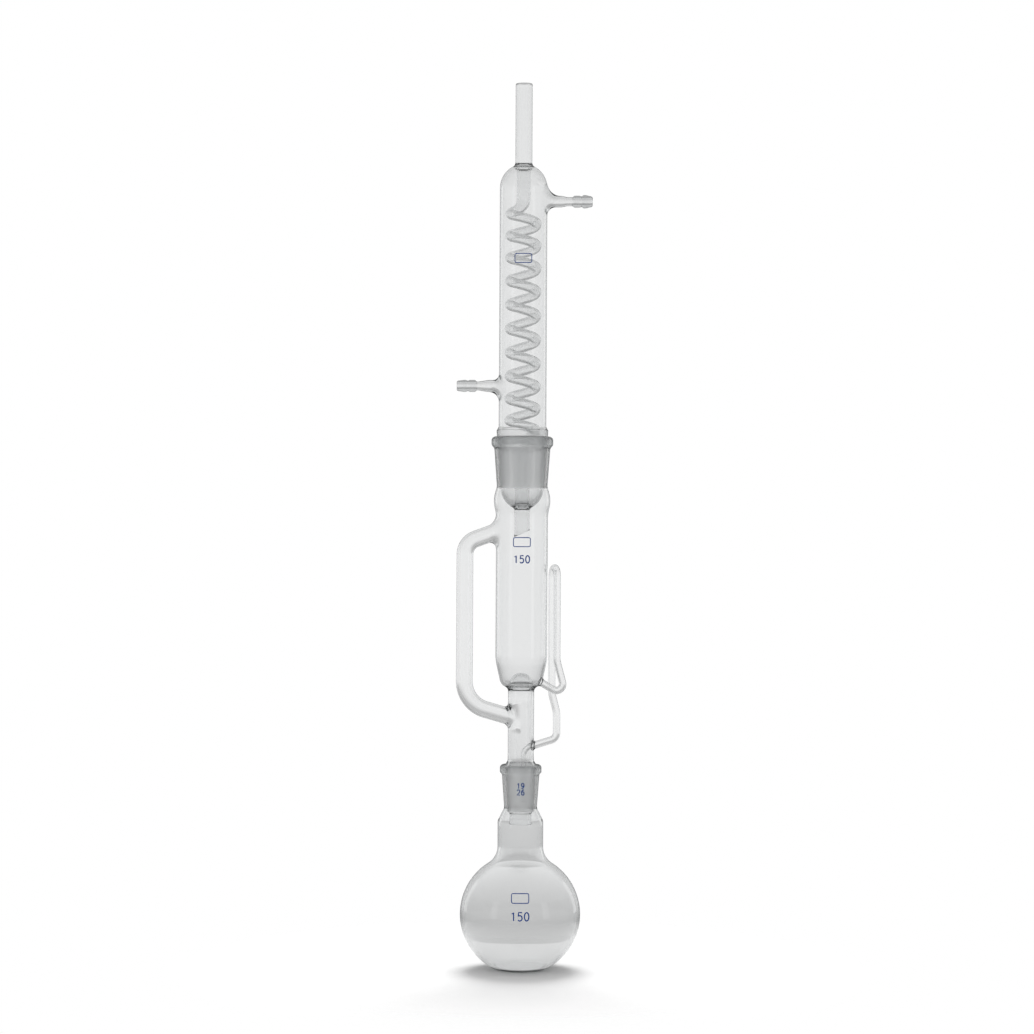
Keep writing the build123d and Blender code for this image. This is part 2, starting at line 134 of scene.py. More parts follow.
def steps_for(length: float, step: float, least: int = 3) -> int:
    """How many equal steps, none longer than step, a length takes, and never fewer than the least."""
    return max(least, int(np.ceil(length / step)))


def run_between(start: np.ndarray, end: np.ndarray, step: float = STEPS.run) -> Line:
    """Evenly spaced points of a straight run: start + (end - start) * share.

    Args:
        start: The run's first point.
        end: Its last point.
        step: The longest step.

    Returns:
        The run's points, both ends included.
    """
    count = steps_for(np.linalg.norm(end - start), step, 1)
    share = np.linspace(0.0, 1.0, count + 1)[:, None]
    return start + (end - start) * share


def rounded_line(
    corners: list[tuple[float, ...]], step: float = STEPS.run, arc_step: float = STEPS.bend
) -> Line:
    """A line through corners, each rounded by an arc that is tangent to both of its runs.

    The arc's centre lies on the corner's bisector at rounding / cos(turn / 2), and the arc starts
    rounding * tan(turn / 2) before the corner. Its points turn evenly from one tangent point to the other.

    Args:
        corners: Coordinates in two or three dimensions, each followed by the corner's rounding radius.
        step: The longest step on a straight run.
        arc_step: The longest step on an arc.

    Returns:
        The line's points, one row each.
    """
    points = np.array([corner[:-1] for corner in corners], float)
    parts = []
    last = points[0]
    for before, here, after, corner in zip(points[:-2], points[1:-1], points[2:], corners[1:-1]):
        rounding = corner[-1]
        come, leave = unit(here - before), unit(after - here)
        turn = np.arccos(np.clip(come @ leave, -1.0, 1.0))
        if rounding <= 0 or turn < TINY:
            parts.append(run_between(last, here, step))
            last = here
            continue
        cut = rounding * np.tan(turn / 2)
        first = here - come * cut
        centre = here + unit(leave - come) * rounding / np.cos(turn / 2)
        angle = np.linspace(0.0, turn, steps_for(rounding * turn, arc_step) + 1)[:, None]
        parts.append(run_between(last, first, step))
        parts.append(centre + (first - centre) * np.cos(angle) + come * rounding * np.sin(angle))
        last = here + leave * cut
    parts.append(run_between(last, points[-1], step))
    return without_repeats(np.vstack(parts))


def arc(centre: float, radius: float, start: float, end: float, arc_step: float = STEPS.bend) -> Line:
    """Points of an arc about a centre on the axis: (radius * cos(angle), centre + radius * sin(angle)).

    Args:
        centre: Height of the arc's centre.
        radius: The arc's radius.
        start: The first point's angle above level, in radians.
        end: The last point's angle.
        arc_step: The longest step.

    Returns:
        The arc's points (radius, height).
    """
    angle = np.linspace(start, end, steps_for(radius * abs(end - start), arc_step) + 1)
    return np.stack([radius * np.cos(angle), centre + radius * np.sin(angle)], axis=1)


def ball_to_tube(
    centre: float, ball: float, tube: float, blend: float, up: int, arc_step: float = STEPS.bend
) -> Line:
    """The blend from a ball about the axis to an upright tube about the axis.

    The blend's arc touches both: its centre is tube + blend from the axis and ball + blend from the ball's
    centre, or ball - blend where ball is given as negative, which blends inside the ball.

    Args:
        centre: Height of the ball's centre.
        ball: The ball's radius, negative for the inside of a ball.
        tube: The tube's radius.
        blend: The blend's radius.
        up: 1 where the tube leaves upwards and -1 where it leaves downwards.
        arc_step: The longest step on the arc.

    Returns:
        The arc's points (radius, height), from the ball to the tube.
    """
    out = tube + blend
    rise = np.sqrt(abs(ball + blend) ** 2 - out**2)
    lean = np.arctan2(rise, out)
    start = lean + np.pi if ball > 0 else lean
    angle = np.linspace(start, np.pi, steps_for(blend * abs(np.pi - start), arc_step) + 1)
    return np.stack([out + blend * np.cos(angle), centre + up * (rise + blend * np.sin(angle))], axis=1)


def bezier(start: tuple, first: tuple, second: tuple, end: tuple, count: int) -> Line:
    """Points of a cubic curve: the four points weighed by (1-t)^3, 3t(1-t)^2, 3t^2(1-t) and t^3.

    Args:
        start: Where the curve starts.
        first: Where it heads for at its start.
        second: Where it comes from at its end.
        end: Where it ends.
        count: How many points it has.

    Returns:
        The curve's points.
    """
    t = np.linspace(0.0, 1.0, count)[:, None]
    corners = [np.array(point, float) for point in (start, first, second, end)]
    weights = [(1 - t) ** 3, 3 * t * (1 - t) ** 2, 3 * t**2 * (1 - t), t**3]
    return sum(weight * corner for weight, corner in zip(weights, corners))


def eased(value: np.ndarray, start: float, end: float) -> np.ndarray:
    """A share that goes smoothly from 0 at start to 1 at end: 3u^2 - 2u^3."""
    u = np.clip((value - start) / (end - start), 0.0, 1.0)
    return u * u * (3 - 2 * u)


def round_angles(around: int) -> np.ndarray:
    """Evenly spaced angles of a full turn, without its end."""
    return np.linspace(0.0, TURN, around, endpoint=False)


@dataclass
class Route:
    """A line in space with a frame at each point.

    Attributes:
        points: The line.
        ahead: The line's direction at each point.
        side: A direction across it.
        over: The direction across both.
    """

    points: Line
    ahead: Line
    side: Line
    over: Line

    @classmethod
    def along(cls, points: Line, side: tuple[float, float, float]) -> Route:
        """Carry a frame along a line without twisting it.

        The side direction at each point is the one before it, made square to the new direction.

        Args:
            points: The line.
            side: A direction across the line's start.

        Returns:
            The route.
        """
        ahead = unit(np.gradient(points, axis=0))
        sides = np.empty_like(points)
        now = np.array(side, float)
        for i, direction in enumerate(ahead):
            now = now - direction * (now @ direction)
            now = now / np.linalg.norm(now)
            sides[i] = now
        return cls(points, ahead, sides, np.cross(ahead, sides))

    def lengths(self) -> np.ndarray:
        """The way along the line to each point."""
        steps = np.linalg.norm(np.diff(self.points, axis=0), axis=1)
        return np.concatenate([[0.0], np.cumsum(steps)])

    def way_to(self, place: tuple[float, float, float]) -> float:
        """The way along the line to its point nearest to a place."""
        away = np.linalg.norm(self.points - np.array(place), axis=1)
        return float(self.lengths()[np.argmin(away)])

    def part(self, start: float, end: float) -> Route:
        """The stretch between two ways along the line, its ends worked out between the line's points.

        Args:
            start: The way along the line to the stretch's start.
            end: The way to its end.

        Returns:
            The stretch, as a route of its own.
        """
        way = self.lengths()
        keep = (way > start + TINY) & (way < end - TINY)
        ways = np.concatenate([[start], way[keep], [end]])
        fields = []
        for values in (self.points, self.ahead, self.side, self.over):
            fields.append(np.stack([np.interp(ways, way, values[:, k]) for k in range(3)], axis=1))
        points, ahead, side, over = fields
        return Route(points, unit(ahead), unit(side), unit(over))

    def rings(self, radii: np.ndarray | float, around: int) -> Grid:
        """Rings about the line: point + radius * (cos(angle) * side + sin(angle) * over).

        Args:
            radii: One radius, or one for each point of the line.
            around: How many points a ring has.

        Returns:
            Points as (ring, place on the ring, coordinate).
        """
        angle = round_angles(around)[None, :, None]
        radii = np.broadcast_to(radii, len(self.points))[:, None, None]
        across = np.cos(angle) * self.side[:, None] + np.sin(angle) * self.over[:, None]
        return self.points[:, None] + radii * across


def by_angle(points: Line, angles: np.ndarray) -> tuple[Line, np.ndarray]:
    """A ring from -pi on, in the ring's own order, which is turned round where its angles fall.

    Args:
        points: The ring's points.
        angles: Their angles about the ring's middle.

    Returns:
        The points and their angles, which never fall from one to the next.
    """
    angles = (angles + np.pi) % TURN - np.pi
    turned = np.unwrap(angles)
    if turned[-1] < turned[0]:
        points, angles = points[::-1], angles[::-1]
    start = int(np.argmin(angles))
    points, angles = np.roll(points, -start, axis=0), np.roll(angles, -start)
    return points, np.maximum.accumulate(np.unwrap(angles))


def zipped(outer: Line, outer_angles: np.ndarray, inner: Line, inner_angles: np.ndarray) -> Grid:
    """Triangles between two closed rings with different counts of points.

    Each edge of a ring gets a triangle to the other ring's point that has come up by the edge's middle angle.

    Args:
        outer: One ring's points, in the order of rising angle.
        outer_angles: Their angles, rising.
        inner: The other ring's points, in the order of rising angle.
        inner_angles: Their angles, rising.

    Returns:
        Triangles as an array of (triangle, corner, coordinate).
    """
    outer_mid = (outer_angles + np.append(outer_angles[1:], outer_angles[0] + TURN)) / 2
    inner_mid = (inner_angles + np.append(inner_angles[1:], inner_angles[0] + TURN)) / 2
    met_inner = np.searchsorted(inner_mid, outer_mid) % len(inner)
    met_outer = np.searchsorted(outer_mid, inner_mid, side="right") % len(outer)
    fans_out = np.stack([outer, np.roll(outer, -1, axis=0), inner[met_inner]], axis=1)
    fans_in = np.stack([np.roll(inner, -1, axis=0), inner, outer[met_outer]], axis=1)
    return np.concatenate([fans_out, fans_in])


def adapter(first: Line, second: Line) -> Grid:
    """Triangles between two level rings about one upright line, by the angles about the first ring's middle.

    Args:
        first: One ring's points.
        second: The other ring's points, as many or not.

    Returns:
        Triangles as an array of (triangle, corner, coordinate).
    """
    ordered = []
    for ring in (first, second):
        offset = ring - first.mean(axis=0)
        ordered += by_angle(ring, np.arctan2(offset[:, 1], offset[:, 0]))
    return zipped(*ordered)


class Skin:
    """A surface of revolution: a profile of (radius, height) points turned about Z on an even grid."""

    def __init__(self, profile: Line, segments: int = STEPS.around) -> None:
        """Turn the profile: point = (radius * cos(angle), radius * sin(angle), height).

        Args:
            profile: The profile's points. Their heights only rise or only fall.
            segments: How many points go round.
        """
        self.profile = without_repeats(profile)
        self.segments = segments
        angles = round_angles(segments)
        radius, height = self.profile[:, :1], self.profile[:, 1:]
        x, y = radius * np.cos(angles), radius * np.sin(angles)
        self.grid = np.stack([x, y, np.broadcast_to(height, x.shape)], axis=2)
        self.shown = np.ones((len(self.profile) - 1, segments), bool)

    def outside(self, points: Line) -> np.ndarray:
        """How far each point lies outside the skin, measured level: its radius less the profile's there."""
        radius, height = self.profile.T
        order = np.argsort(height, kind="stable")
        here = np.interp(points[..., 2], height[order], radius[order])
        return np.hypot(points[..., 0], points[..., 1]) - here

    def land(self, points: Line, direction: np.ndarray, back: float) -> np.ndarray:
        """How far each point is from the skin along a direction, by halving the span from -back to AHEAD.

        Args:
            points: The points.
            direction: The direction, at length one.
            back: How far against the direction the skin may lie.

        Returns:
            The distances, negative against the direction.
        """
        low = np.full(points.shape[:-1], -back)
        high = np.full(points.shape[:-1], AHEAD)
        sign = np.sign(self.outside(points + direction * AHEAD))
        for _ in range(HALVINGS):
            middle = (low + high) / 2
            beyond = self.outside(points + direction * middle[..., None]) * sign > 0
            high = np.where(beyond, middle, high)
            low = np.where(beyond, low, middle)
        return high

    def hole(self, near: np.ndarray, middle: np.ndarray) -> Line:
        """Leave out the block of faces round some of the grid's points, one cell wider each way.

        Args:
            near: Which of the grid's points the block holds.
            middle: A place in the block's middle, from which its columns are counted both ways.

        Returns:
            The points of the block's edge, once round.
        """
        column = int(round(np.arctan2(middle[1], middle[0]) / TURN * self.segments))
        half = self.segments // 2
        rows, columns = np.nonzero(near)
        columns = (columns - column + half) % self.segments - half
        low, high = rows.min() - 1, rows.max() + 1
        columns = (np.arange(columns.min() - 1, columns.max() + 2) + column) % self.segments
        self.shown[np.ix_(np.arange(low, high), columns[:-1])] = False
        block = self.grid[low : high + 1][:, columns]
        return np.concatenate([block[0, :-1], block[:-1, -1], block[-1, :0:-1], block[:0:-1, 0]])

    def port(
        self, route: Route, radius: float, flare: float | np.ndarray, around: int, backwards: bool = False
    ) -> tuple[Grid, Grid]:
        """Open the skin round a tube's end and flare it into the tube.

        The flare's rings run over share s from 0 to 1: their radius about the tube's line is
        radius + flare * (1 - sin(s * pi / 2)), and they lift off the skin by flare * (1 - cos(s * pi / 2)),
        so the flare leaves the skin and meets the tube without an edge.

        Args:
            route: The tube's line, whose end stands a little off the skin.
            radius: The tube's radius there.
            flare: The flare's radius, or one for each point of a ring.
            around: How many points the tube's rings have.
            backwards: True where the tube's line ends at the skin, False where it starts there.

        Returns:
            The flare's rings, from the skin to the tube, and the triangles that join them to the skin's grid.
        """
        end = -1 if backwards else 0
        origin, side, over = route.points[end], route.side[end], route.over[end]
        ahead = -route.ahead[end] if backwards else route.ahead[end]
        back = BACK_SHARE * abs(origin[:2] @ ahead[:2]) / (ahead[:2] @ ahead[:2])

        share = np.linspace(0.0, QUARTER, FLARE_RINGS)[:, None]
        angle = round_angles(around)[None, :, None]
        across = np.cos(angle) * side + np.sin(angle) * over
        rings = origin + (radius + flare * (1 - np.sin(share)))[..., None] * across
        rings = rings + (self.land(rings, ahead, back) + flare * (1 - np.cos(share)))[..., None] * ahead

        offset = self.grid - origin
        along, away = offset @ ahead, np.hypot(offset @ side, offset @ over)
        margin = HOLE_MARGIN * TURN * self.profile[:, 0].max() / self.segments
        near = (away < radius + np.max(flare) + margin) & (along > -back) & (along < AHEAD)
        edge = self.hole(near, rings[0].mean(axis=0))
        offset = edge - origin
        edge, edge_angles = by_angle(edge, np.arctan2(offset @ over, offset @ side))
        first, first_angles = by_angle(rings[0], round_angles(around))
        return rings, zipped(edge, edge_angles, first, first_angles)


def placed(name: str, data: bpy.types.ID) -> bpy.types.Object:
    """A new object in the scene that holds a mesh, a lamp or a camera."""
    thing = bpy.data.objects.new(name, data)
    bpy.context.scene.collection.objects.link(thing)
    return thing


class Glass:
    """A glass piece's mesh, put together from grids of rings and triangles that share their seams."""

    def __init__(self, name: str) -> None:
        """Start an empty piece."""
        self.name = name
        self.corners: list[np.ndarray] = []
        self.ground: list[np.ndarray] = []

    def add_rings(
        self, grid: Grid, shown: np.ndarray | None = None, ground: np.ndarray | None = None
    ) -> None:
        """Add the faces between neighbouring rings of a grid.

        Args:
            grid: Points as (ring, place on the ring, coordinate). Each ring is closed.
            shown: Which faces are there, as (ring, place), or None for all.
            ground: Which strips between rings are ground, or None for none.
        """
        turned = np.roll(grid, -1, axis=1)
        quads = np.stack([grid[:-1], turned[:-1], turned[1:], grid[1:]], axis=2)
        keep = np.ones(quads.shape[:2], bool) if shown is None else shown
        strips = np.zeros(len(quads), bool) if ground is None else ground
        self.corners.append(quads[keep])
        self.ground.append(np.broadcast_to(strips[:, None], quads.shape[:2])[keep])

    def add_skin(self, skin: Skin, ground: tuple[float, float] | None = None) -> None:
        """Add a turned skin.

        Args:
            skin: The skin.
            ground: The two heights between which it is ground, or None.
        """
        height = (skin.profile[:-1, 1] + skin.profile[1:, 1]) / 2
        strips = None if ground is None else (height > ground[0]) & (height < ground[1])
        self.add_rings(skin.grid, skin.shown, strips)

    def add_triangles(self, triangles: Grid) -> None:
        """Add loose triangles, as faces whose last two corners are one point."""
        self.corners.append(np.concatenate([triangles, triangles[:, -1:]], axis=1))
        self.ground.append(np.zeros(len(triangles), bool))

    def welded(self) -> tuple[Line, list[list[int]], np.ndarray]:
        """Make corners that agree one point, and leave out the faces that have no area.

        A corner that repeats the one before it is dropped, so a face has four corners, three, or none.

        Returns:
            The points, the faces as rows of point numbers, and which faces are ground.
        """
        corners = np.round(np.concatenate(self.corners).reshape(-1, 3), WELD_DECIMALS)
        points, numbers = np.unique(corners, axis=0, return_inverse=True)
        faces = numbers.reshape(-1, 4)
        distinct = faces != np.roll(faces, 1, axis=1)
        count = distinct.sum(axis=1)
        triangles = faces[count == 3][distinct[count == 3]].reshape(-1, 3)
        ground = np.concatenate(self.ground)
        rows = faces[count == 4].tolist() + triangles.tolist()
        return points, rows, np.concatenate([ground[count == 4], ground[count == 3]])

    def make(self, replaced: str, material: bpy.types.Material) -> bpy.types.Object:
        """Weld the seams, turn the faces outwards and put the piece into the scene.

        Args:
            replaced: The frame's node that the piece stands for.
            material: The glass.

        Returns:
            The piece.
        """
        points, rows, ground = self.welded()
        mesh = bpy.data.meshes.new(self.name)
        mesh.from_pydata((points * MM).tolist(), [], rows)
        mesh.materials.append(material)
        mesh.polygons.foreach_set("use_smooth", np.ones(len(rows), bool))
        bands = mesh.attributes.new(GROUND, "FLOAT", "FACE")
        bands.data.foreach_set("value", ground.astype(np.float32))
        work = bmesh.new()
        work.from_mesh(mesh)
        bmesh.ops.recalc_face_normals(work, faces=work.faces)
        volume = work.calc_volume(signed=True)
        if volume < 0:
            bmesh.ops.reverse_faces(work, faces=work.faces)
        open_edges = sum(not edge.is_manifold for edge in work.edges)
        work.to_mesh(mesh)
        work.free()
        piece = placed(self.name, mesh)
        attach(piece, BODY)
        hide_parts(replaced)
        held = abs(volume) / MM**3
        LOG.info("%s: %d faces, %d open edges, %.0f mm3 of glass", self.name, len(rows), open_edges, held)
        return piece


@dataclass(frozen=True)
class Joint:
    """A ground taper joint.

    Attributes:
        top: Height of its wide end.
        length: How long it is.
        diameter: Its wide end's diameter.
        taper: How much the radius changes with height.
        clearance: The gap round the cone.
    """

    top: float
    length: float
    diameter: float
    taper: float = 0.05
    clearance: float = 0.08

    @property
    def end(self) -> float:
        """Height of its narrow end."""
        return self.top - self.length

    def bore(self, z: float) -> float:
        """The socket's radius at a height."""
        return self.diameter / 2 - self.taper * (self.top - z)

    def cone(self, z: float) -> float:
        """The cone's radius at a height."""
        return self.bore(z) - self.clearance


# The joint between flask and extractor, and the one between extractor and condenser.
LOWER = Joint(top=122.298, length=26.0, diameter=18.8)
UPPER = Joint(top=LOWER.top + 200.2, length=32.3, diameter=31.1)


@dataclass(frozen=True)
class Flask:
    """The boiling flask: a ball on a flat base with a neck and a ground socket.

    Radii are those of the outside. The words top and end name heights over the bench.
    """

    ball: float = 36.0
    base: float = 15.0
    base_rounding: float = 4.0
    wall: float = 1.6
    floor: float = 2.2
    neck: float = 13.65
    neck_wall: float = 1.8
    neck_blend: float = 12.0
    neck_top: float = LOWER.top - 33.7
    shoulder_rounding: float = 4.0
    socket_wall: float = 1.7
    socket: float = 11.25
    bead: float = 12.45
    bead_height: float = 5.6
    bead_rounding: float = 1.9
    rim: float = 0.5

    @property
    def centre(self) -> float:
        """Height of the ball's centre."""
        return float(np.sqrt(self.ball**2 - self.base**2))

    def bulb(self, ball: float, floor: float, neck: float, blend: float) -> Line:
        """The profile from the middle of the base round the ball to the neck.

        The base's rounding is an arc inside the ball that touches the floor: its centre lies one rounding
        over the floor and ball - rounding from the ball's centre.

        Args:
            ball: The ball's radius, outside or inside.
            floor: Height of the base's upper or lower face.
            neck: The neck's radius.
            blend: The radius of the blend between ball and neck.

        Returns:
            The profile's points (radius, height).
        """
        low = floor + self.base_rounding - self.centre
        out = np.sqrt((ball - self.base_rounding) ** 2 - low**2)
        lean = np.arctan2(low, out)
        corner = arc(self.centre + low, self.base_rounding, -QUARTER, lean)
        corner[:, 0] += out
        rise = np.sqrt((ball + blend) ** 2 - (neck + blend) ** 2)
        top = np.arctan2(rise, neck + blend)
        return joined(
            run_between(np.array([0.0, floor]), corner[0]),
            corner,
            arc(self.centre, ball, lean, top, STEPS.run / 2),
            ball_to_tube(self.centre, ball, neck, blend, 1),
        )

    def build(self, material: bpy.types.Material) -> bpy.types.Object:
        """Make the flask: one skin outside and one inside, which meet on the rim.

        Args:
            material: The glass.

        Returns:
            The piece.
        """
        ground_end = LOWER.end
        bead_foot = LOWER.top - self.bead_height
        rim_middle = (LOWER.bore(LOWER.top) + self.bead) / 2
        outer = self.bulb(self.ball, 0.0, self.neck, self.neck_blend)
        upper = rounded_line(
            [
                (*outer[-1], 0),
                (self.neck, self.neck_top, self.shoulder_rounding),
                (LOWER.bore(ground_end) + self.socket_wall, ground_end, self.shoulder_rounding),
                (self.socket, bead_foot, self.bead_rounding),
                (self.bead, bead_foot + self.bead_rounding / 2, self.bead_rounding / 2),
                (self.bead, LOWER.top, self.bead_rounding),
                (rim_middle, LOWER.top, 0),
            ]
        )
        inner_neck = self.neck - self.neck_wall
        inner = self.bulb(self.ball - self.wall, self.floor, inner_neck, self.neck_blend + self.neck_wall)
        lining = rounded_line(
            [
                (*inner[-1], 0),
                (inner_neck, self.neck_top, self.shoulder_rounding),
                (LOWER.bore(ground_end), ground_end - self.neck_wall / 2, self.shoulder_rounding / 2),
                (LOWER.bore(ground_end), ground_end, 0),
                (LOWER.bore(LOWER.top), LOWER.top, self.rim),
                (rim_middle, LOWER.top, 0),
            ]
        )
        glass = Glass("flask_glass")
        glass.add_skin(Skin(joined(outer, upper)))
        glass.add_skin(Skin(joined(inner, lining)), (ground_end, LOWER.top - self.rim / 2))
        return glass.make("flask", material)


@dataclass(frozen=True)
class Extractor:
    """The extractor: cone, stem, thimble chamber, vapour arm, siphon and upper socket.

    Radii are those of the outside. Slopes, leans and twists are degrees, and offsets are distances from the
    axis. The words top, bottom, end, upper, lower, outlet and entry name heights over the bench. A stand is
    the room between a flare's foot and the tube's first ring. The swing's share is how much of the falling
    leg's way off the middle plane is left at the swing's bottom.
    """

    # Cone, drip tube and stem.
    wall: float = 1.5
    cone_end: float = LOWER.top - 29.0
    cone_end_rounding: float = 1.2
    drip_tube: float = 6.7
    drip_end: float = LOWER.top - 35.8
    stem: float = 7.8
    cone_shoulder: float = 2.4
    polish: float = 0.4
    # Chamber, its floor with the dome, and the bulge over it.
    chamber: float = 15.5
    chamber_bottom: float = LOWER.top + 65.7
    chamber_top: float = LOWER.top + 150.2
    floor_taper_drop: float = 3.0
    floor_taper_rounding: float = 30.0
    floor_corner: float = 12.3
    floor_corner_drop: float = 17.4
    floor_corner_rounding: float = 5.5
    floor_slope: float = 32.0
    floor_wall_rise: float = 0.9
    floor_blend: float = 3.0
    dome: float = 6.9
    dome_wall: float = 1.3
    dome_centre: float = LOWER.top + 48.1
    dome_seal: float = 0.8
    stem_neck_in: float = 8.0
    bulge: float = 17.5
    bulge_height: float = 16.3
    bulge_rounding: float = 18.0
    bulge_foot_rounding: float = 25.0
    bulge_neck_rounding: float = 6.0
    # Upper socket.
    socket_length: float = 30.0
    socket_base: float = 15.15
    socket: float = 16.8
    bead: float = 18.5
    bead_height: float = 5.0
    bead_rounding: float = 2.2
    bead_foot: float = 2.0
    ground_relief: float = 1.0
    ground_below: float = 2.8
    # Vapour arm.
    arm: float = 5.0
    arm_wall: float = 1.2
    arm_offset: float = 34.1
    arm_upper: float = LOWER.top + 139.5
    arm_upper_slope: float = 20.0
    arm_upper_bend: float = 10.0
    arm_upper_flare: float = 5.0
    arm_upper_stand: float = 2.4
    arm_lower: float = LOWER.top + 28.9
    arm_lower_slope: float = 16.0
    arm_lower_bend: float = 17.5
    arm_lower_flare: float = 2.5
    arm_lower_stand: float = 2.0
    arm_flare_wall: float = 1.0
    # Siphon.
    siphon: float = 2.2
    siphon_bore: float = 1.3
    siphon_offset: float = 19.8
    siphon_spread: float = 5.6
    siphon_twist: float = 14.5
    siphon_top: float = LOWER.top + 117.9
    siphon_outlet: float = LOWER.top + 51.7
    siphon_outlet_slope: float = 30.0
    siphon_outlet_drop: float = 3.0
    siphon_outlet_stand: float = 2.0
    siphon_trap_bend: float = 4.1
    siphon_trap_reach: float = 5.9
    siphon_trap_lean: float = 15.0
    siphon_elbow: float = 21.4
    siphon_elbow_bend: float = 4.5
    siphon_swing_top: float = LOWER.top + 42.7
    siphon_swing_bottom: float = LOWER.top + 31.2
    siphon_swing_share: float = 0.25
    siphon_bend: float = 14.0
    siphon_entry: float = LOWER.top + 11.5
    siphon_entry_slope: float = 17.5
    siphon_entry_stand: float = 1.4
    siphon_flare: float = 1.2
    siphon_narrowing: float = 1.0
    # Drip line inside the stem.
    drip_line: float = 1.7
    drip_line_bore: float = 1.0
    drip_line_offset: float = 1.8
    drip_line_bend: float = 5.5
    drip_line_flare: float = 0.8
    drip_line_stand: float = 2.0
    drip_line_end: float = LOWER.top - 22.0

    def floor_height(self, radius: float, corner: float, corner_radius: float) -> float:
        """Height of the chamber's floor at a radius: corner - (corner_radius - radius) * tan(slope)."""
        return corner - (corner_radius - radius) * float(np.tan(np.radians(self.floor_slope)))

    def skins(self) -> tuple[Skin, Skin, Skin, Skin]:
        """Turn the extractor's profiles.

        Returns:
            The outside, the chamber's wall with the socket, the dome in its floor, and the stem's bore.
        """
        corner = self.chamber_bottom - self.floor_corner_drop
        taper = self.chamber_bottom - self.floor_taper_drop
        bulge_top = self.chamber_top + self.bulge_height
        bulge_middle = (self.chamber_top + bulge_top) / 2
        mouth = bulge_top + self.socket_length
        ground_end = UPPER.end
        rim_middle = (UPPER.bore(mouth) + self.bead) / 2
        drip_bore = self.drip_tube - self.wall
        drip_rim = (self.drip_tube + drip_bore) / 2
        cone = LOWER.cone(self.cone_end)
        outside = rounded_line(
            [
                (drip_rim, self.drip_end, 0),
                (self.drip_tube, self.drip_end, self.polish),
                (self.drip_tube, self.cone_end, self.polish),
                (cone, self.cone_end + self.cone_end_rounding, self.cone_end_rounding / 2),
                (LOWER.cone(LOWER.top), LOWER.top, self.polish),
                (self.stem, LOWER.top + self.cone_shoulder, self.cone_shoulder),
                (self.stem, self.floor_height(self.stem, corner, self.floor_corner), self.floor_blend),
                (self.floor_corner, corner, self.floor_corner_rounding),
                (self.chamber, taper, self.floor_taper_rounding),
                (self.chamber, self.chamber_top, self.bulge_foot_rounding),
                (self.bulge, bulge_middle, self.bulge_rounding),
                (self.socket_base, bulge_top, self.bulge_neck_rounding),
                (self.socket, mouth - self.bead_height - self.bead_foot, self.bead_foot),
                (self.bead, mouth - self.bead_height, self.bead_rounding),
                (self.bead, mouth, self.bead_rounding),
                (rim_middle, mouth, 0),
            ]
        )
        inner_corner = corner + self.floor_wall_rise
        inner_corner_radius = self.floor_corner - self.wall
        room = rounded_line(
            [
                (rim_middle, mouth, 0),
                (UPPER.bore(mouth), mouth, self.polish),
                (UPPER.bore(ground_end), ground_end, 0),
                (UPPER.bore(ground_end), ground_end - self.ground_relief, 2 * self.ground_relief),
                (self.bulge - self.wall, bulge_middle, self.bulge_rounding),
                (self.chamber - self.wall, self.chamber_top, self.bulge_foot_rounding),
                (self.chamber - self.wall, taper, self.floor_taper_rounding),
                (inner_corner_radius, inner_corner, self.floor_corner_rounding - self.wall),
                (self.dome, self.floor_height(self.dome, inner_corner, inner_corner_radius), self.dome_seal),
                (self.dome, self.dome_centre, 0),
            ]
        )
        room = joined(room, arc(self.dome_centre, self.dome, 0.0, QUARTER))
        wall, dome = split_at(room, int(np.argmin(room[:, 1])))
        bore = rounded_line(
            [
                (drip_rim, self.drip_end, 0),
                (drip_bore, self.drip_end, self.polish),
                (drip_bore, self.cone_end - self.polish, self.wall),
                (cone - self.wall, self.cone_end + self.wall, self.wall),
                (LOWER.cone(LOWER.top) - self.wall, LOWER.top - self.wall, self.wall),
                (self.stem - self.wall, LOWER.top + self.cone_shoulder, self.cone_shoulder),
                (self.stem - self.wall, self.dome_centre - self.stem_neck_in, 2 * self.dome),
                (self.dome - self.dome_wall, self.dome_centre, 0),
            ]
        )
        top = arc(self.dome_centre, self.dome - self.dome_wall, 0.0, QUARTER)
        return tuple(Skin(profile) for profile in (outside, wall, dome, joined(bore, top)))

    def arm_route(self) -> Route:
        """The vapour arm's line, in the plane of X and Z.

        Returns:
            The line, from the chamber's wall down to the stem's.
        """
        top = self.arm_upper - (self.arm_offset - self.chamber) * np.tan(np.radians(self.arm_upper_slope))
        bottom = self.arm_lower + (self.arm_offset - self.stem) * np.tan(np.radians(self.arm_lower_slope))
        corners = [
            (-self.chamber, 0, self.arm_upper, 0),
            (-self.arm_offset, 0, top, self.arm_upper_bend),
            (-self.arm_offset, 0, bottom, self.arm_lower_bend),
            (-self.stem, 0, self.arm_lower, 0),
        ]
        return Route.along(rounded_line(corners), (0.0, 1.0, 0.0))

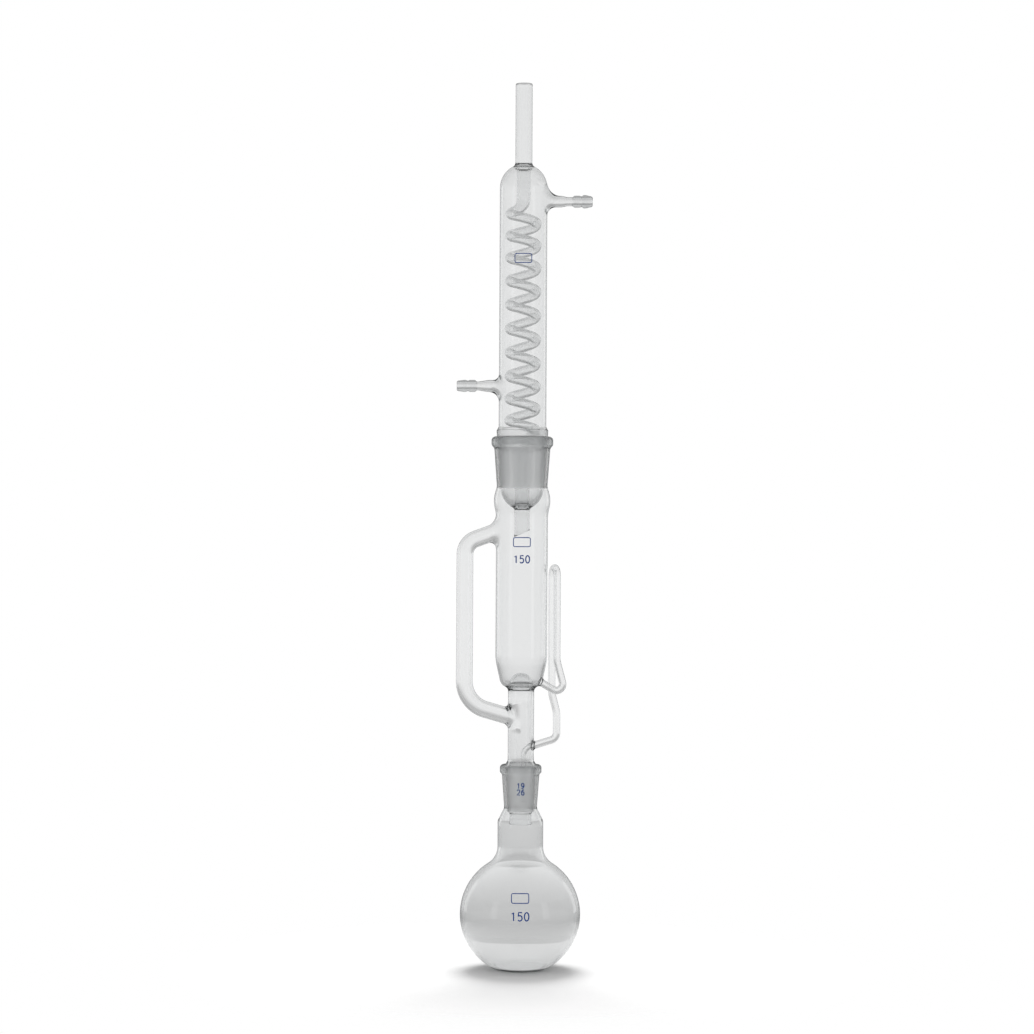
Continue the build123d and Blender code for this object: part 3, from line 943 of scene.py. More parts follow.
    def siphon_route(self) -> Route:
        """The siphon's line, whose rising and falling legs stand side by side, turned a little about Z.

        Returns:
            The line from the chamber's floor over the arch to the stem, and on down the drip line.
        """
        twist = np.radians(self.siphon_twist)
        across = self.siphon_spread * np.array([np.sin(twist), -np.cos(twist)])
        rising = np.array([self.siphon_offset, 0.0]) + across
        falling = np.array([self.siphon_offset, 0.0]) - across
        swing_y = self.siphon_swing_share * falling[1]
        trap_x = rising[0] + self.siphon_trap_reach
        trap_z = self.siphon_outlet - (trap_x - self.stem) * np.tan(np.radians(self.siphon_outlet_slope))
        lean_top = trap_z + self.siphon_trap_reach / np.tan(np.radians(self.siphon_trap_lean))
        fall = np.tan(np.radians(self.siphon_entry_slope))
        elbow_z = self.siphon_entry + (self.siphon_elbow - self.stem) * fall
        inner_z = self.siphon_entry - (self.stem - self.drip_line_offset) * fall
        corners = [
            (self.stem, 0, self.siphon_outlet, 0),
            (trap_x, rising[1], trap_z, self.siphon_trap_bend),
            (*rising, lean_top, self.siphon_bend),
            (*rising, self.siphon_top, self.siphon_spread),
            (*falling, self.siphon_top, self.siphon_spread),
            (*falling, self.siphon_swing_top, self.siphon_bend),
            (self.siphon_elbow, swing_y, self.siphon_swing_bottom, self.siphon_bend),
            (self.siphon_elbow, 0, elbow_z, self.siphon_elbow_bend),
            (self.drip_line_offset, 0, inner_z, self.drip_line_bend),
            (self.drip_line_offset, 0, self.drip_line_end, 0),
        ]
        return Route.along(rounded_line(corners, STEPS.tube_step), (0.0, 1.0, 0.0))

    def add_arm(self, glass: Glass, outside: Skin, wall: Skin, bore: Skin) -> None:
        """Add the vapour arm, its outside between two ports of the outside and its bore between the rooms.

        Args:
            glass: The piece.
            outside: The extractor's outside.
            wall: The chamber's wall.
            bore: The stem's bore.
        """
        around = 2 * STEPS.tube_around
        arm = self.arm_route()
        start = self.arm_upper_flare + self.arm_upper_stand
        end = self.arm_lower_flare + self.arm_lower_stand
        arm = arm.part(start, arm.lengths()[-1] - end)
        upper, lower, step = self.arm_upper_flare, self.arm_lower_flare, self.arm_flare_wall
        for radius, skins, flares in (
            (self.arm, (outside, outside), (upper, lower)),
            (self.arm - self.arm_wall, (wall, bore), (upper + step, lower - step)),
        ):
            first, first_seam = skins[0].port(arm, radius, flares[0], around)
            last, last_seam = skins[1].port(arm, radius, flares[1], around, backwards=True)
            glass.add_rings(np.concatenate([first, arm.rings(radius, around), last[::-1]]))
            glass.add_triangles(np.concatenate([first_seam, last_seam]))

    def add_siphon(self, glass: Glass, outside: Skin, wall: Skin, bore: Skin) -> None:
        """Add the siphon's tube, the drip line in the stem, and the channel that runs through both.

        The channel's radius eases from the siphon's bore to the drip line's while it passes the stem's wall.

        Args:
            glass: The piece.
            outside: The extractor's outside, on which the tube starts and ends.
            wall: The chamber's wall, in which the channel starts.
            bore: The stem's bore, on which the drip line starts.
        """
        around = STEPS.tube_around
        siphon = self.siphon_route()
        foot = siphon.way_to((self.floor_corner, 0.0, self.siphon_outlet - self.siphon_outlet_drop))
        leave = foot + self.siphon_flare + self.siphon_outlet_stand
        enter = siphon.way_to((self.stem, 0.0, self.siphon_entry))
        end = siphon.lengths()[-1]
        tube = siphon.part(leave, enter - self.siphon_flare - self.siphon_entry_stand)
        first, first_seam = outside.port(tube, self.siphon, self.siphon_flare, around)
        last, last_seam = outside.port(tube, self.siphon, self.siphon_flare, around, backwards=True)
        glass.add_rings(np.concatenate([first, tube.rings(self.siphon, around), last[::-1]]))
        glass.add_triangles(np.concatenate([first_seam, last_seam]))

        line = siphon.part(enter + self.wall + self.drip_line_stand, end)
        channel = siphon.part(leave, end)
        past = enter + self.wall + self.siphon_narrowing
        narrowed = eased(channel.lengths() + leave, enter - self.siphon_narrowing, past)
        radii = self.siphon_bore + (self.drip_line_bore - self.siphon_bore) * narrowed
        first, first_seam = wall.port(channel, self.siphon_bore, self.siphon_flare, around)
        last, last_seam = bore.port(line, self.drip_line, self.drip_line_flare, around)
        inside = np.concatenate([first, channel.rings(radii, around)])
        outer = np.concatenate([last, line.rings(self.drip_line, around)])
        for rings in (inside, outer, np.stack([inside[-1], outer[-1]])):
            glass.add_rings(rings)
        glass.add_triangles(np.concatenate([first_seam, last_seam]))

    def build(self, material: bpy.types.Material) -> bpy.types.Object:
        """Make the extractor: the tubes first, which open the skins, then the skins.

        Args:
            material: The glass.

        Returns:
            The piece.
        """
        outside, wall, dome, bore = self.skins()
        glass = Glass("extractor_glass")
        self.add_arm(glass, outside, wall, bore)
        self.add_siphon(glass, outside, wall, bore)
        glass.add_skin(outside, (self.cone_end + self.cone_end_rounding / 2, LOWER.top))
        glass.add_skin(wall, (UPPER.end - self.ground_below, UPPER.top))
        glass.add_skin(dome)
        glass.add_skin(bore)
        return glass.make("extractor", material)


@dataclass(frozen=True)
class Nozzle:
    """A hose nozzle with two barbs on the condenser's jacket.

    Attributes:
        height: Height of its level line.
        side: 1 for +X and -1 for -X.
        reach: How far its tip is from the jacket's axis.
        start: Where its straight part starts.
        root: Its radius there.
        neck: Radius of the neck before the barbs.
        neck_start: Where the neck starts.
        barb: Radius of the first barb.
        end_barb: Radius of the last barb.
        flare_up: The flare's radius above the nozzle.
        flare_down: The flare's radius below it.
        tip: Radius of its tip.
        bore: Radius of its bore.
        root_wall: Its wall at the root.
        barb_length: The first barb's length, with the neck behind it.
        end_barb_length: The last barb's length.
        barb_step: How long a barb's slope is.
        barb_rounding: How much a barb's edges are rounded.
        rounding: How much the corner between root and neck is rounded.
        polish: How much the flame has rounded small edges.
    """

    height: float
    side: int
    reach: float
    start: float
    root: float
    neck: float
    neck_start: float
    barb: float
    end_barb: float
    flare_up: float
    flare_down: float
    tip: float = 3.0
    bore: float = 1.5
    root_wall: float = 1.4
    barb_length: float = 5.4
    end_barb_length: float = 6.6
    barb_step: float = 1.2
    barb_rounding: float = 1.0
    rounding: float = 2.0
    polish: float = 0.4

    def profile(self) -> Line:
        """The nozzle's profile along its own line.

        Returns:
            Points (distance from the jacket's axis, radius): the outside, the rim, and back in the bore.
        """
        second = self.reach - self.end_barb_length
        first = second - self.barb_length
        return rounded_line(
            [
                (self.start, self.root, 0),
                (self.neck_start, self.neck, self.rounding),
                (first, self.neck, self.polish),
                (first + self.barb_step, self.barb, self.barb_rounding),
                (second - self.barb_step, self.barb, self.barb_rounding),
                (second, self.neck + self.polish, self.polish),
                (second + self.barb_step, self.end_barb, self.barb_rounding),
                (second + 2 * self.barb_step, self.end_barb, self.barb_rounding),
                (self.reach, self.tip, self.barb_rounding),
                (self.reach, self.bore, self.polish),
                (self.neck_start, self.bore, self.rounding),
                (self.start, self.root - self.root_wall, 0),
            ],
            arc_step=STEPS.bend / 2,
        )

    def add_to(self, glass: Glass, outside: Skin, room: Skin) -> None:
        """Grow the nozzle out of the jacket's outside and open it into the water room.

        The flare's radius goes from flare_down below to flare_up above by (1 + cos(angle from above)) / 2.

        Args:
            glass: The piece.
            outside: The jacket's outside.
            room: The water room's wall.
        """
        around = 2 * STEPS.tube_around
        profile = self.profile()
        count = len(profile)
        points = np.stack([self.side * profile[:, 0], np.zeros(count), np.full(count, self.height)], axis=1)
        ahead = np.tile([float(self.side), 0.0, 0.0], (count, 1))
        side = np.tile([0.0, 0.0, 1.0], (count, 1))
        route = Route(points, ahead, side, np.cross(ahead, side))
        rings = route.rings(profile[:, 1], around)
        up = (1 + np.cos(round_angles(around))) / 2
        flare = self.flare_down + (self.flare_up - self.flare_down) * up
        first, first_seam = outside.port(route, self.root, flare, around)
        last, last_seam = room.port(route, profile[-1, 1], flare, around)
        glass.add_rings(np.concatenate([first, rings, last[::-1]]))
        glass.add_triangles(np.concatenate([first_seam, last_seam]))


@dataclass(frozen=True)
class Condenser:
    """The condenser: ground cone, bowl and drip tip, water jacket, vent, and the coil inside.

    Radii are those of the outside. The words end, top, base and centre name heights over the bench.
    """

    # Jacket and cone.
    jacket: float = 14.25
    jacket_wall: float = 1.5
    jacket_shoulder: float = 2.2
    cone_wall: float = 1.9
    cone_inner_rounding: float = 1.0
    dome_base: float = UPPER.top + 145.8
    polish: float = 0.4
    # Bowl under the cone, and drip tip. The bowl's arc ends a lean, in radians, below its centre's level.
    bowl: float = 13.0
    bowl_centre: float = UPPER.top - 34.5
    bowl_wall: float = 1.5
    bowl_lean: float = 0.1
    bowl_rounding: float = 1.1
    tip: float = 4.65
    tip_end: float = UPPER.top - 63.9
    tip_bevel: float = 4.2
    bevel_reach: float = 3.0
    tip_wall: float = 1.1
    tip_blend: float = 1.6
    tip_bore_rounding: float = 2.0
    # Vent tube on the dome.
    vent: float = 5.1
    vent_wall: float = 1.5
    vent_end: float = UPPER.top + 208.5
    vent_blend: float = 3.0
    vent_rounding: float = 0.7
    vent_narrowing: float = 1.5
    vent_bore_rounding: float = 3.0
    # Bulb over the coil, collector under it, and their ring seals.
    bulb: float = 4.15
    bulb_end: float = 461.5
    collector: float = 4.4
    collector_end: float = 310.5
    inner_wall: float = 1.0
    seal: float = 1.0
    # Coil. Its tube widens into bulb and collector between two ways along its line from each end.
    coil: float = 8.0
    coil_tube: float = 3.0
    coil_wall: float = 0.9
    coil_pitch: float = 13.73
    coil_turns: float = 9.5
    coil_top: float = UPPER.top + 130.15
    coil_unevenness: float = 1.2
    return_lead: float = 6.5
    lead_points: int = 26
    widening: tuple[float, float] = (0.5, 11.0)

    def coil_route(self) -> Route:
        """The line of the coil between the bulb above it and the collector below it.

        The coil is a left-handed helix: angle = pi + 2 pi n, height = top - pitch * n after n turns, with one
        slow wave added to the heights, as in a coil that was wound by hand. A cubic curve leads to each end.

        Returns:
            The line, from the top down.
        """
        count = int(self.coil_turns * TURN * self.coil / STEPS.tube_step)
        turns = np.linspace(0.0, self.coil_turns, count)
        angle = np.pi + TURN * turns
        wave = self.coil_unevenness * np.sin(TURN * turns / self.coil_turns)
        height = self.coil_top - self.coil_pitch * turns + wave
        helix = np.stack([self.coil * np.cos(angle), self.coil * np.sin(angle), height], axis=1)
        lead = self.return_lead
        start, end = helix[0], helix[-1]
        come, leave = unit(helix[1] - start), unit(end - helix[-2])
        top, below_top = (0.0, 0.0, self.bulb_end), (0.0, 0.0, self.bulb_end - lead)
        bottom, over_bottom = (0.0, 0.0, self.collector_end), (0.0, 0.0, self.collector_end + lead)
        into = bezier(top, below_top, start - lead * come, start, self.lead_points)
        away = bezier(end, end + lead * leave, over_bottom, bottom, self.lead_points)
        return Route.along(joined(into, helix, away), (1.0, 0.0, 0.0))

    def coil_radii(self, route: Route, ends: tuple[float, float], tube: float) -> np.ndarray:
        """The coil's radius along its line, eased from the bulb's at the top and into the collector's below.

        Args:
            route: The coil's line.
            ends: The radii at its top and bottom.
            tube: The radius between them.

        Returns:
            One radius for each point of the line.
        """
        way = route.lengths()
        near, far = self.widening
        top = (ends[0] - tube) * (1 - eased(way, near, far))
        bottom = (ends[1] - tube) * eased(way, way[-1] - far, way[-1] - near)
        return tube + top + bottom

    def outline(self) -> Line:
        """The outside's profile.

        Returns:
            Points (radius, height) from the tip's rim over bowl, cone and jacket to the vent's rim.
        """
        ground_end = UPPER.end
        lip = self.tip - self.tip_wall / 2
        vent_lip = self.vent - self.vent_wall / 2
        to_bowl = ball_to_tube(self.bowl_centre, self.bowl, self.tip, self.tip_blend, -1)[::-1]
        to_vent = ball_to_tube(self.dome_base, self.jacket, self.vent, self.vent_blend, 1)
        bowl_start = float(np.arctan2(to_bowl[-1, 1] - self.bowl_centre, to_bowl[-1, 0]))
        dome_end = float(np.arctan2(to_vent[0, 1] - self.dome_base, to_vent[0, 0]))
        bowl = arc(self.bowl_centre, self.bowl, bowl_start, -self.bowl_lean)
        tip = [(lip, self.tip_end, 0), (self.tip, self.tip_end, self.polish), (*to_bowl[0], 0)]
        cone = [
            (*bowl[-1], 0),
            (self.bowl, self.bowl_centre, self.bowl_rounding),
            (UPPER.cone(ground_end), ground_end, self.polish),
            (UPPER.cone(UPPER.top), UPPER.top, self.polish),
            (self.jacket, UPPER.top + self.jacket_shoulder, self.jacket_shoulder),
            (self.jacket, self.dome_base, 0),
        ]
        vent = [
            (*to_vent[-1], 0),
            (self.vent, self.vent_end, self.vent_rounding),
            (vent_lip, self.vent_end, 0),
        ]
        return joined(
            rounded_line(tip),
            to_bowl,
            bowl,
            rounded_line(cone),
            arc(self.dome_base, self.jacket, 0.0, dome_end),
            to_vent,
            rounded_line(vent),
        )

    def room_outline(self) -> tuple[Line, Line, Line]:
        """The water room's profiles. Ball blends inside the bowl and the dome are the ring seals.

        Returns:
            The collector's outside, the wall between the seals, and the bulb's outside.
        """
        room = self.jacket - self.jacket_wall
        bowl = self.bowl - self.bowl_wall
        low_seal = ball_to_tube(self.bowl_centre, -bowl, self.collector, self.seal, -1)[::-1]
        high_seal = ball_to_tube(self.dome_base, -room, self.bulb, self.seal, 1)
        low_start = float(np.arctan2(low_seal[-1, 1] - self.bowl_centre, low_seal[-1, 0]))
        high_end = float(np.arctan2(high_seal[0, 1] - self.dome_base, high_seal[0, 0]))
        bowl_arc = arc(self.bowl_centre, bowl, low_start, -self.bowl_lean)
        wall = [
            (*bowl_arc[-1], 0),
            (bowl, self.bowl_centre, self.bowl_rounding),
            (UPPER.cone(UPPER.end) - self.cone_wall, UPPER.end, self.cone_inner_rounding),
            (UPPER.cone(UPPER.top) - self.cone_wall, UPPER.top, self.jacket_shoulder),
            (room, UPPER.top + self.jacket_shoulder, self.jacket_shoulder),
            (room, self.dome_base, 0),
        ]
        collector = run_between(np.array([self.collector, self.collector_end]), low_seal[0])
        bulb = run_between(high_seal[-1], np.array([self.bulb, self.bulb_end]))
        whole = joined(
            collector,
            low_seal,
            bowl_arc,
            rounded_line(wall),
            arc(self.dome_base, room, 0.0, high_end),
            high_seal,
            bulb,
        )
        return tuple(split_at(whole, int(np.argmin(whole[:, 1])), int(np.argmax(whole[:, 1]))))

    def vapour_ends(self) -> tuple[Line, Line]:
        """The profiles of the vapour's way over and under the coil.

        Returns:
            The vent's bore down to the bulb's end, and the collector's bore down to the tip's rim.
        """
        room_top = self.dome_base + self.jacket - self.jacket_wall
        bulb = self.bulb - self.inner_wall
        collector = self.collector - self.inner_wall
        above = [
            (self.vent - self.vent_wall / 2, self.vent_end, 0),
            (self.vent - self.vent_wall, self.vent_end, self.polish),
            (self.vent - self.vent_wall, room_top + self.vent_narrowing, self.vent_bore_rounding),
            (bulb, room_top - self.vent_narrowing, self.vent_bore_rounding),
            (bulb, self.bulb_end, 0),
        ]
        bowl_bottom = self.bowl_centre - self.bowl
        below = [
            (collector, self.collector_end, 0),
            (collector, bowl_bottom + self.bowl_wall, self.tip_bore_rounding),
            (self.tip - self.tip_wall, bowl_bottom, self.tip_bore_rounding),
            (self.tip - self.tip_wall, self.tip_end, self.polish),
            (self.tip - self.tip_wall / 2, self.tip_end, 0),
        ]
        return tuple(rounded_line(corners) for corners in (above, below))

    def bevel(self, skin: Skin) -> None:
        """Slant the tip's end: a point rises by bevel * (x + r) / 2r, and less the higher it is over the end.

        Args:
            skin: The skin to slant. Its rise ends bevel_reach bevels over the tip's end.
        """
        above = skin.grid[..., 2] - self.tip_end
        share = np.clip(1 - above / (self.bevel_reach * self.tip_bevel), 0.0, 1.0)
        skin.grid[..., 2] += share * self.tip_bevel * (skin.grid[..., 0] + self.tip) / (2 * self.tip)

    def add_coil(self, glass: Glass, outer: tuple[Skin, Skin], inner: tuple[Skin, Skin]) -> None:
        """Add the coil's tube and its bore, each joined to the rings that end the skins over and under it.

        Args:
            glass: The piece.
            outer: The outsides of bulb and collector.
            inner: The bores of vent and tip.
        """
        around = STEPS.tube_around
        route = self.coil_route()
        ends = (self.bulb, self.collector)
        bores = (self.bulb - self.inner_wall, self.collector - self.inner_wall)
        for (above, below), radii in (
            (outer, self.coil_radii(route, ends, self.coil_tube)),
            (inner, self.coil_radii(route, bores, self.coil_tube - self.coil_wall)),
        ):
            rings = route.rings(radii, around)[1:-1]
            glass.add_rings(rings)
            glass.add_triangles(adapter(above.grid[-1], rings[0]))
            glass.add_triangles(adapter(below.grid[0], rings[-1]))

    def build(self, material: bpy.types.Material) -> bpy.types.Object:
        """Make the condenser: the nozzles first, which open the skins, then the coil and the skins.

        Args:
            material: The glass.

        Returns:
            The piece.
        """
        glass = Glass("condenser_glass")
        outside = Skin(self.outline())
        collector, room, bulb = (Skin(profile) for profile in self.room_outline())
        above, below = (Skin(profile) for profile in self.vapour_ends())
        for nozzle in NOZZLES:
            nozzle.add_to(glass, outside, room)
        for skin in (outside, below):
            self.bevel(skin)
        self.add_coil(glass, (bulb, collector), (above, below))
        for skin in (collector, room, bulb, above, below):
            glass.add_skin(skin)
        glass.add_skin(outside, (UPPER.end, UPPER.top))
        return glass.make("condenser", material)


FLASK = Flask()
EXTRACTOR = Extractor()
CONDENSER = Condenser()
# The water outlet and, below it, the water inlet.
NOZZLES = (
    Nozzle(
        height=460.2,
        side=1,
        reach=41.4,
        start=22.8,
        root=3.4,
        neck=2.7,
        neck_start=26.0,
        barb=3.6,
        end_barb=4.0,
        flare_up=8.0,
        flare_down=5.0,
    ),
    Nozzle(
        height=349.2,
        side=-1,
        reach=39.5,
        start=20.6,
        root=3.6,
        neck=2.65,
        neck_start=26.4,
        barb=3.6,
        end_barb=3.6,
        flare_up=3.6,
        flare_down=6.0,
    ),
)


# How many points the arc of a digit has.
ARC_POINTS = 33


def ellipse_arc(centre: tuple[float, float], radii: tuple[float, float], start: float, end: float) -> Line:
    """Points of an ellipse's arc: centre + radii * (cos(angle), sin(angle)).

    Args:
        centre: The ellipse's centre.
        radii: Its two half widths.
        start: The first point's angle in degrees.
        end: The last point's angle.

    Returns:
        The arc's points.
    """
    angle = np.radians(np.linspace(start, end, ARC_POINTS))
    return np.array(centre) + np.stack([radii[0] * np.cos(angle), radii[1] * np.sin(angle)], axis=1)


def digit(character: str) -> list[Line]:
    """The strokes of a digit, in a box 0.6 wide and 1 high, as straight runs and arcs of ellipses.

    Args:
        character: The digit.

    Returns:
        The strokes' lines.
    """
    six = [
        joined(
            np.array([[0.53, 0.97]]),
            ellipse_arc((0.44, 0.32), (0.38, 0.66), 80.0, 175.0)[2:],
            ellipse_arc((0.31, 0.31), (0.25, 0.3), 180.0, 540.0),
        )
    ]
    strokes = {
        "0": [ellipse_arc((0.3, 0.5), (0.27, 0.5), 90.0, 450.0)],
        "1": [np.array([[0.12, 0.8], [0.34, 1.0], [0.34, 0.0]])],
        "2": [
            joined(
                ellipse_arc((0.3, 0.71), (0.26, 0.29), 165.0, -35.0),
                np.array([[0.05, 0.0], [0.58, 0.0]]),
            )
        ],
        "5": [
            joined(
                np.array([[0.54, 1.0], [0.14, 1.0], [0.09, 0.56]]),
                ellipse_arc((0.28, 0.32), (0.28, 0.32), 128.0, -140.0),
            )
        ],
        "6": six,
        "9": [np.array([0.6, 1.0]) - stroke for stroke in six],
    }
    return strokes[character]


@dataclass(frozen=True)
class Mark:
    """Fired-on enamel that faces the front.

    Attributes:
        name: The piece's name.
        radius: The glass's radius under it.
        height: Height of the mark's middle.
        text: Its digits, or nothing for the frame of a writing field.
        size: How high the digits or the frame are.
        width: How wide the frame is.
        pen: How wide its strokes are.
        ball: Height of the middle of the ball that it lies on, or None on an upright wall.
        corner: How much the frame's corners are rounded.
        run: The longest step along the frame's runs.
        bend: The longest step round its corners.
        advance: The way from one digit to the next, as a share of the size.
        inset: The way from a digit's place to its left edge, as a share of the size.
        lift: How far it lies off the glass, so that the two never share a face.
        thickness: How thick the enamel is.
    """

    name: str
    radius: float
    height: float
    text: str = ""
    size: float = 4.2
    width: float = 0.0
    pen: float = 0.7
    ball: float | None = None
    corner: float = 1.0
    run: float = 0.5
    bend: float = 0.2
    advance: float = 0.82
    inset: float = 0.1
    lift: float = 0.02
    thickness: float = 0.05

    def strokes(self) -> list[Line]:
        """The mark's strokes: its digits side by side, or the rounded frame, once round from its left edge.

        Returns:
            Lines of points (across, up) in millimetres about the mark's middle.
        """
        if not self.text:
            x, y, corner = self.width / 2, self.size / 2, self.corner
            corners = [(-x, y, corner), (x, y, corner), (x, -y, corner), (-x, -y, corner)]
            corners = [(-x, 0.0, 0.0), *corners, (-x, 0.0, 0.0)]
            return [rounded_line(corners, self.run, self.bend)]
        left = (self.inset - self.advance * len(self.text) / 2) * self.size
        lines = []
        for place, character in enumerate(self.text):
            foot = np.array([left + place * self.advance * self.size, -self.size / 2])
            lines += [stroke * self.size + foot for stroke in digit(character)]
        return lines

    def wrapped(self, flat: Grid, lift: float) -> Grid:
        """Lay points on the glass: angle = across / radius - 90 degrees.

        On a ball the radius is sqrt(ball radius^2 - (height - ball's height)^2).

        Args:
            flat: Points (across, up) about the mark's middle.
            lift: How far off the glass they are laid.

        Returns:
            The points in space.
        """
        height = self.height + flat[..., 1]
        radius = np.full(height.shape, self.radius)
        if self.ball is not None:
            radius = np.sqrt(self.radius**2 - (height - self.ball) ** 2)
        angle = flat[..., 0] / radius - QUARTER
        radius = radius + lift
        return np.stack([radius * np.cos(angle), radius * np.sin(angle), height], axis=-1)

    def build(self, material: bpy.types.Material) -> bpy.types.Object:
        """Make the mark: each stroke is a closed band, as wide as the pen and a little thick.

        Args:
            material: The enamel.

        Returns:
            The piece.
        """
        top, bottom = self.lift + self.thickness, self.lift
        points: list[Line] = []
        faces: list[list[int]] = []
        for stroke in self.strokes():
            ahead = unit(np.gradient(stroke, axis=0))
            across = np.stack([-ahead[:, 1], ahead[:, 0]], axis=1) * self.pen / 2
            left, right = stroke - across, stroke + across
            ring = [self.wrapped(edge, lift) for edge, lift in ((left, bottom), (right, bottom))]
            ring += [self.wrapped(edge, lift) for edge, lift in ((right, top), (left, top))]
            start = sum(len(block) for block in points)
            points.append(np.stack(ring, axis=1).reshape(-1, 3))
            index = start + np.arange(len(stroke) * 4).reshape(-1, 4)
            turned = np.roll(index, -1, axis=1)
            sides = np.stack([index[:-1], turned[:-1], turned[1:], index[1:]], axis=2).reshape(-1, 4)
            faces += sides.tolist() + [index[0].tolist(), index[-1][::-1].tolist()]
        mesh = bpy.data.meshes.new(self.name)
        mesh.from_pydata((np.concatenate(points) * MM).tolist(), [], faces)
        mesh.materials.append(material)
        piece = placed(self.name, mesh)
        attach(piece, BODY)
        LOG.info("%s: %d faces", self.name, len(faces))
        return piece


# The frame of a writing field.
FIELD = {"size": 5.4, "width": 10.2, "pen": 0.5}
MARKS = (
    Mark("condenser_field", radius=CONDENSER.jacket, height=424.8, **FIELD),
    Mark("extractor_field", radius=EXTRACTOR.chamber, height=255.6, **FIELD),
    Mark("extractor_capacity", radius=EXTRACTOR.chamber, height=245.4, text="150", size=4.3),
    Mark("flask_field", radius=FLASK.ball, height=46.4, ball=FLASK.centre, **FIELD),
    Mark("flask_capacity", radius=FLASK.ball, height=36.0, ball=FLASK.centre, text="150", size=4.8),
    Mark("joint_width", radius=11.1, height=110.4, text="19", size=3.1, pen=0.58),
    Mark("joint_length", radius=10.9, height=106.5, text="26", size=3.1, pen=0.58),
)


def srgb(code: str) -> tuple[float, float, float, float]:
    """A colour's linear values from its sRGB ones: c / 12.92 when dark, else ((c + 0.055) / 1.055) ^ 2.4.

    Args:
        code: The colour as six hex digits.

    Returns:
        Red, green, blue and an alpha of 1.
    """
    values = [int(code[i : i + 2], 16) / 255 for i in (0, 2, 4)]
    linear = [v / 12.92 if v <= 0.04045 else ((v + 0.055) / 1.055) ** 2.4 for v in values]
    return (*linear, 1.0)


class Nodes:
    """A node tree that is built one linked node at a time."""

    def __init__(self, tree: bpy.types.NodeTree) -> None:
        """Clear the tree."""
        self.tree = tree
        tree.nodes.clear()

    def add(self, kind: str, settings: dict | None = None, **inputs: object) -> bpy.types.Node:
        """Add a node with its settings, and set or link its inputs.

        Args:
            kind: The node's type.
            settings: The node's own properties.
            **inputs: Values or output sockets for its inputs, by the socket's name with _ for spaces, or by
                its number as in i0.

        Returns:
            The node.
        """
        node = self.tree.nodes.new(kind)
        for name, value in (settings or {}).items():
            setattr(node, name, value)
        for name, value in inputs.items():
            numbered = name[0] == "i" and name[1:].isdigit()
            socket = node.inputs[int(name[1:])] if numbered else node.inputs[name.replace("_", " ")]
            if isinstance(value, bpy.types.NodeSocket):
                self.tree.links.new(value, socket)
            else:
                socket.default_value = value
        return node


def new_material(name: str) -> tuple[bpy.types.Material, Nodes]:
    """An empty material and its tree of nodes."""
    material = bpy.data.materials.new(name)
    material.use_nodes = True
    return material, Nodes(material.node_tree)


@dataclass(frozen=True)
class GlassFinish:
    """Borosilicate glass, blown and polished by the flame, with bands that are ground with grit.

    Attributes:
        name: The material's name.
        tint: The colour that each passage through the surface takes on.
        ior: How much it bends light, a typical value for borosilicate glass.
        roughness: How rough the ground bands are.
        absorption: What the glass takes out per metre of it.
        absorbed: The colour that is left over.
    """

    name: str
    tint: str
    ior: float = 1.473
    roughness: float = 0.32
    absorption: float = 112.0
    absorbed: str = "BEC2C3"

    def make(self) -> bpy.types.Material:
        """Make the material. The faces' attribute is 1 on the ground bands and 0 elsewhere.

        Returns:
            The material.
        """
        material, nodes = new_material(self.name)
        # The flame leaves a smooth skin, seen by its grey edges and by what it mirrors. The grit leaves a
        # frost that is far finer than a pixel, so roughness alone gives the ground bands their even grey.
        ground = nodes.add("ShaderNodeAttribute", {"attribute_name": GROUND})
        rough = nodes.add(
            "ShaderNodeMath", {"operation": "MULTIPLY"}, i0=ground.outputs["Fac"], i1=self.roughness
        )
        surface = nodes.add(
            "ShaderNodeBsdfPrincipled",
            Base_Color=srgb(self.tint),
            Roughness=rough.outputs[0],
            IOR=self.ior,
            Transmission_Weight=1.0,
        )
        volume = nodes.add("ShaderNodeVolumeAbsorption", Color=srgb(self.absorbed), Density=self.absorption)
        nodes.add(
            "ShaderNodeOutputMaterial", Surface=surface.outputs["BSDF"], Volume=volume.outputs["Volume"]
        )
        return material


@dataclass(frozen=True)
class EnamelFinish:
    """Enamel paint, printed on the glass and fired on.

    Attributes:
        name: The material's name.
        colour: Its colour.
        roughness: How rough it is.
        shine: How much it mirrors, where 0.5 is usual.
    """

    name: str
    colour: str
    roughness: float = 0.5
    shine: float = 0.2

    def make(self) -> bpy.types.Material:
        """Make the material.

        Returns:
            The material.
        """
        material, nodes = new_material(self.name)
        # A thin fired layer is satin: it shows its colour from everywhere and mirrors next to nothing.
        surface = nodes.add(
            "ShaderNodeBsdfPrincipled",
            Base_Color=srgb(self.colour),
            Roughness=self.roughness,
            Specular_IOR_Level=self.shine,
        )
        nodes.add("ShaderNodeOutputMaterial", Surface=surface.outputs["BSDF"])
        return material


ENAMEL = EnamelFinish(Finish.ENAMEL.value, colour="0A3D86")
CLEAR = GlassFinish(Finish.CLEAR.value, tint="FDFDFD")


class LampShape(Enum):
    """The outlines of the lamps."""

    BOX = "RECTANGLE"
    ROUND = "DISK"


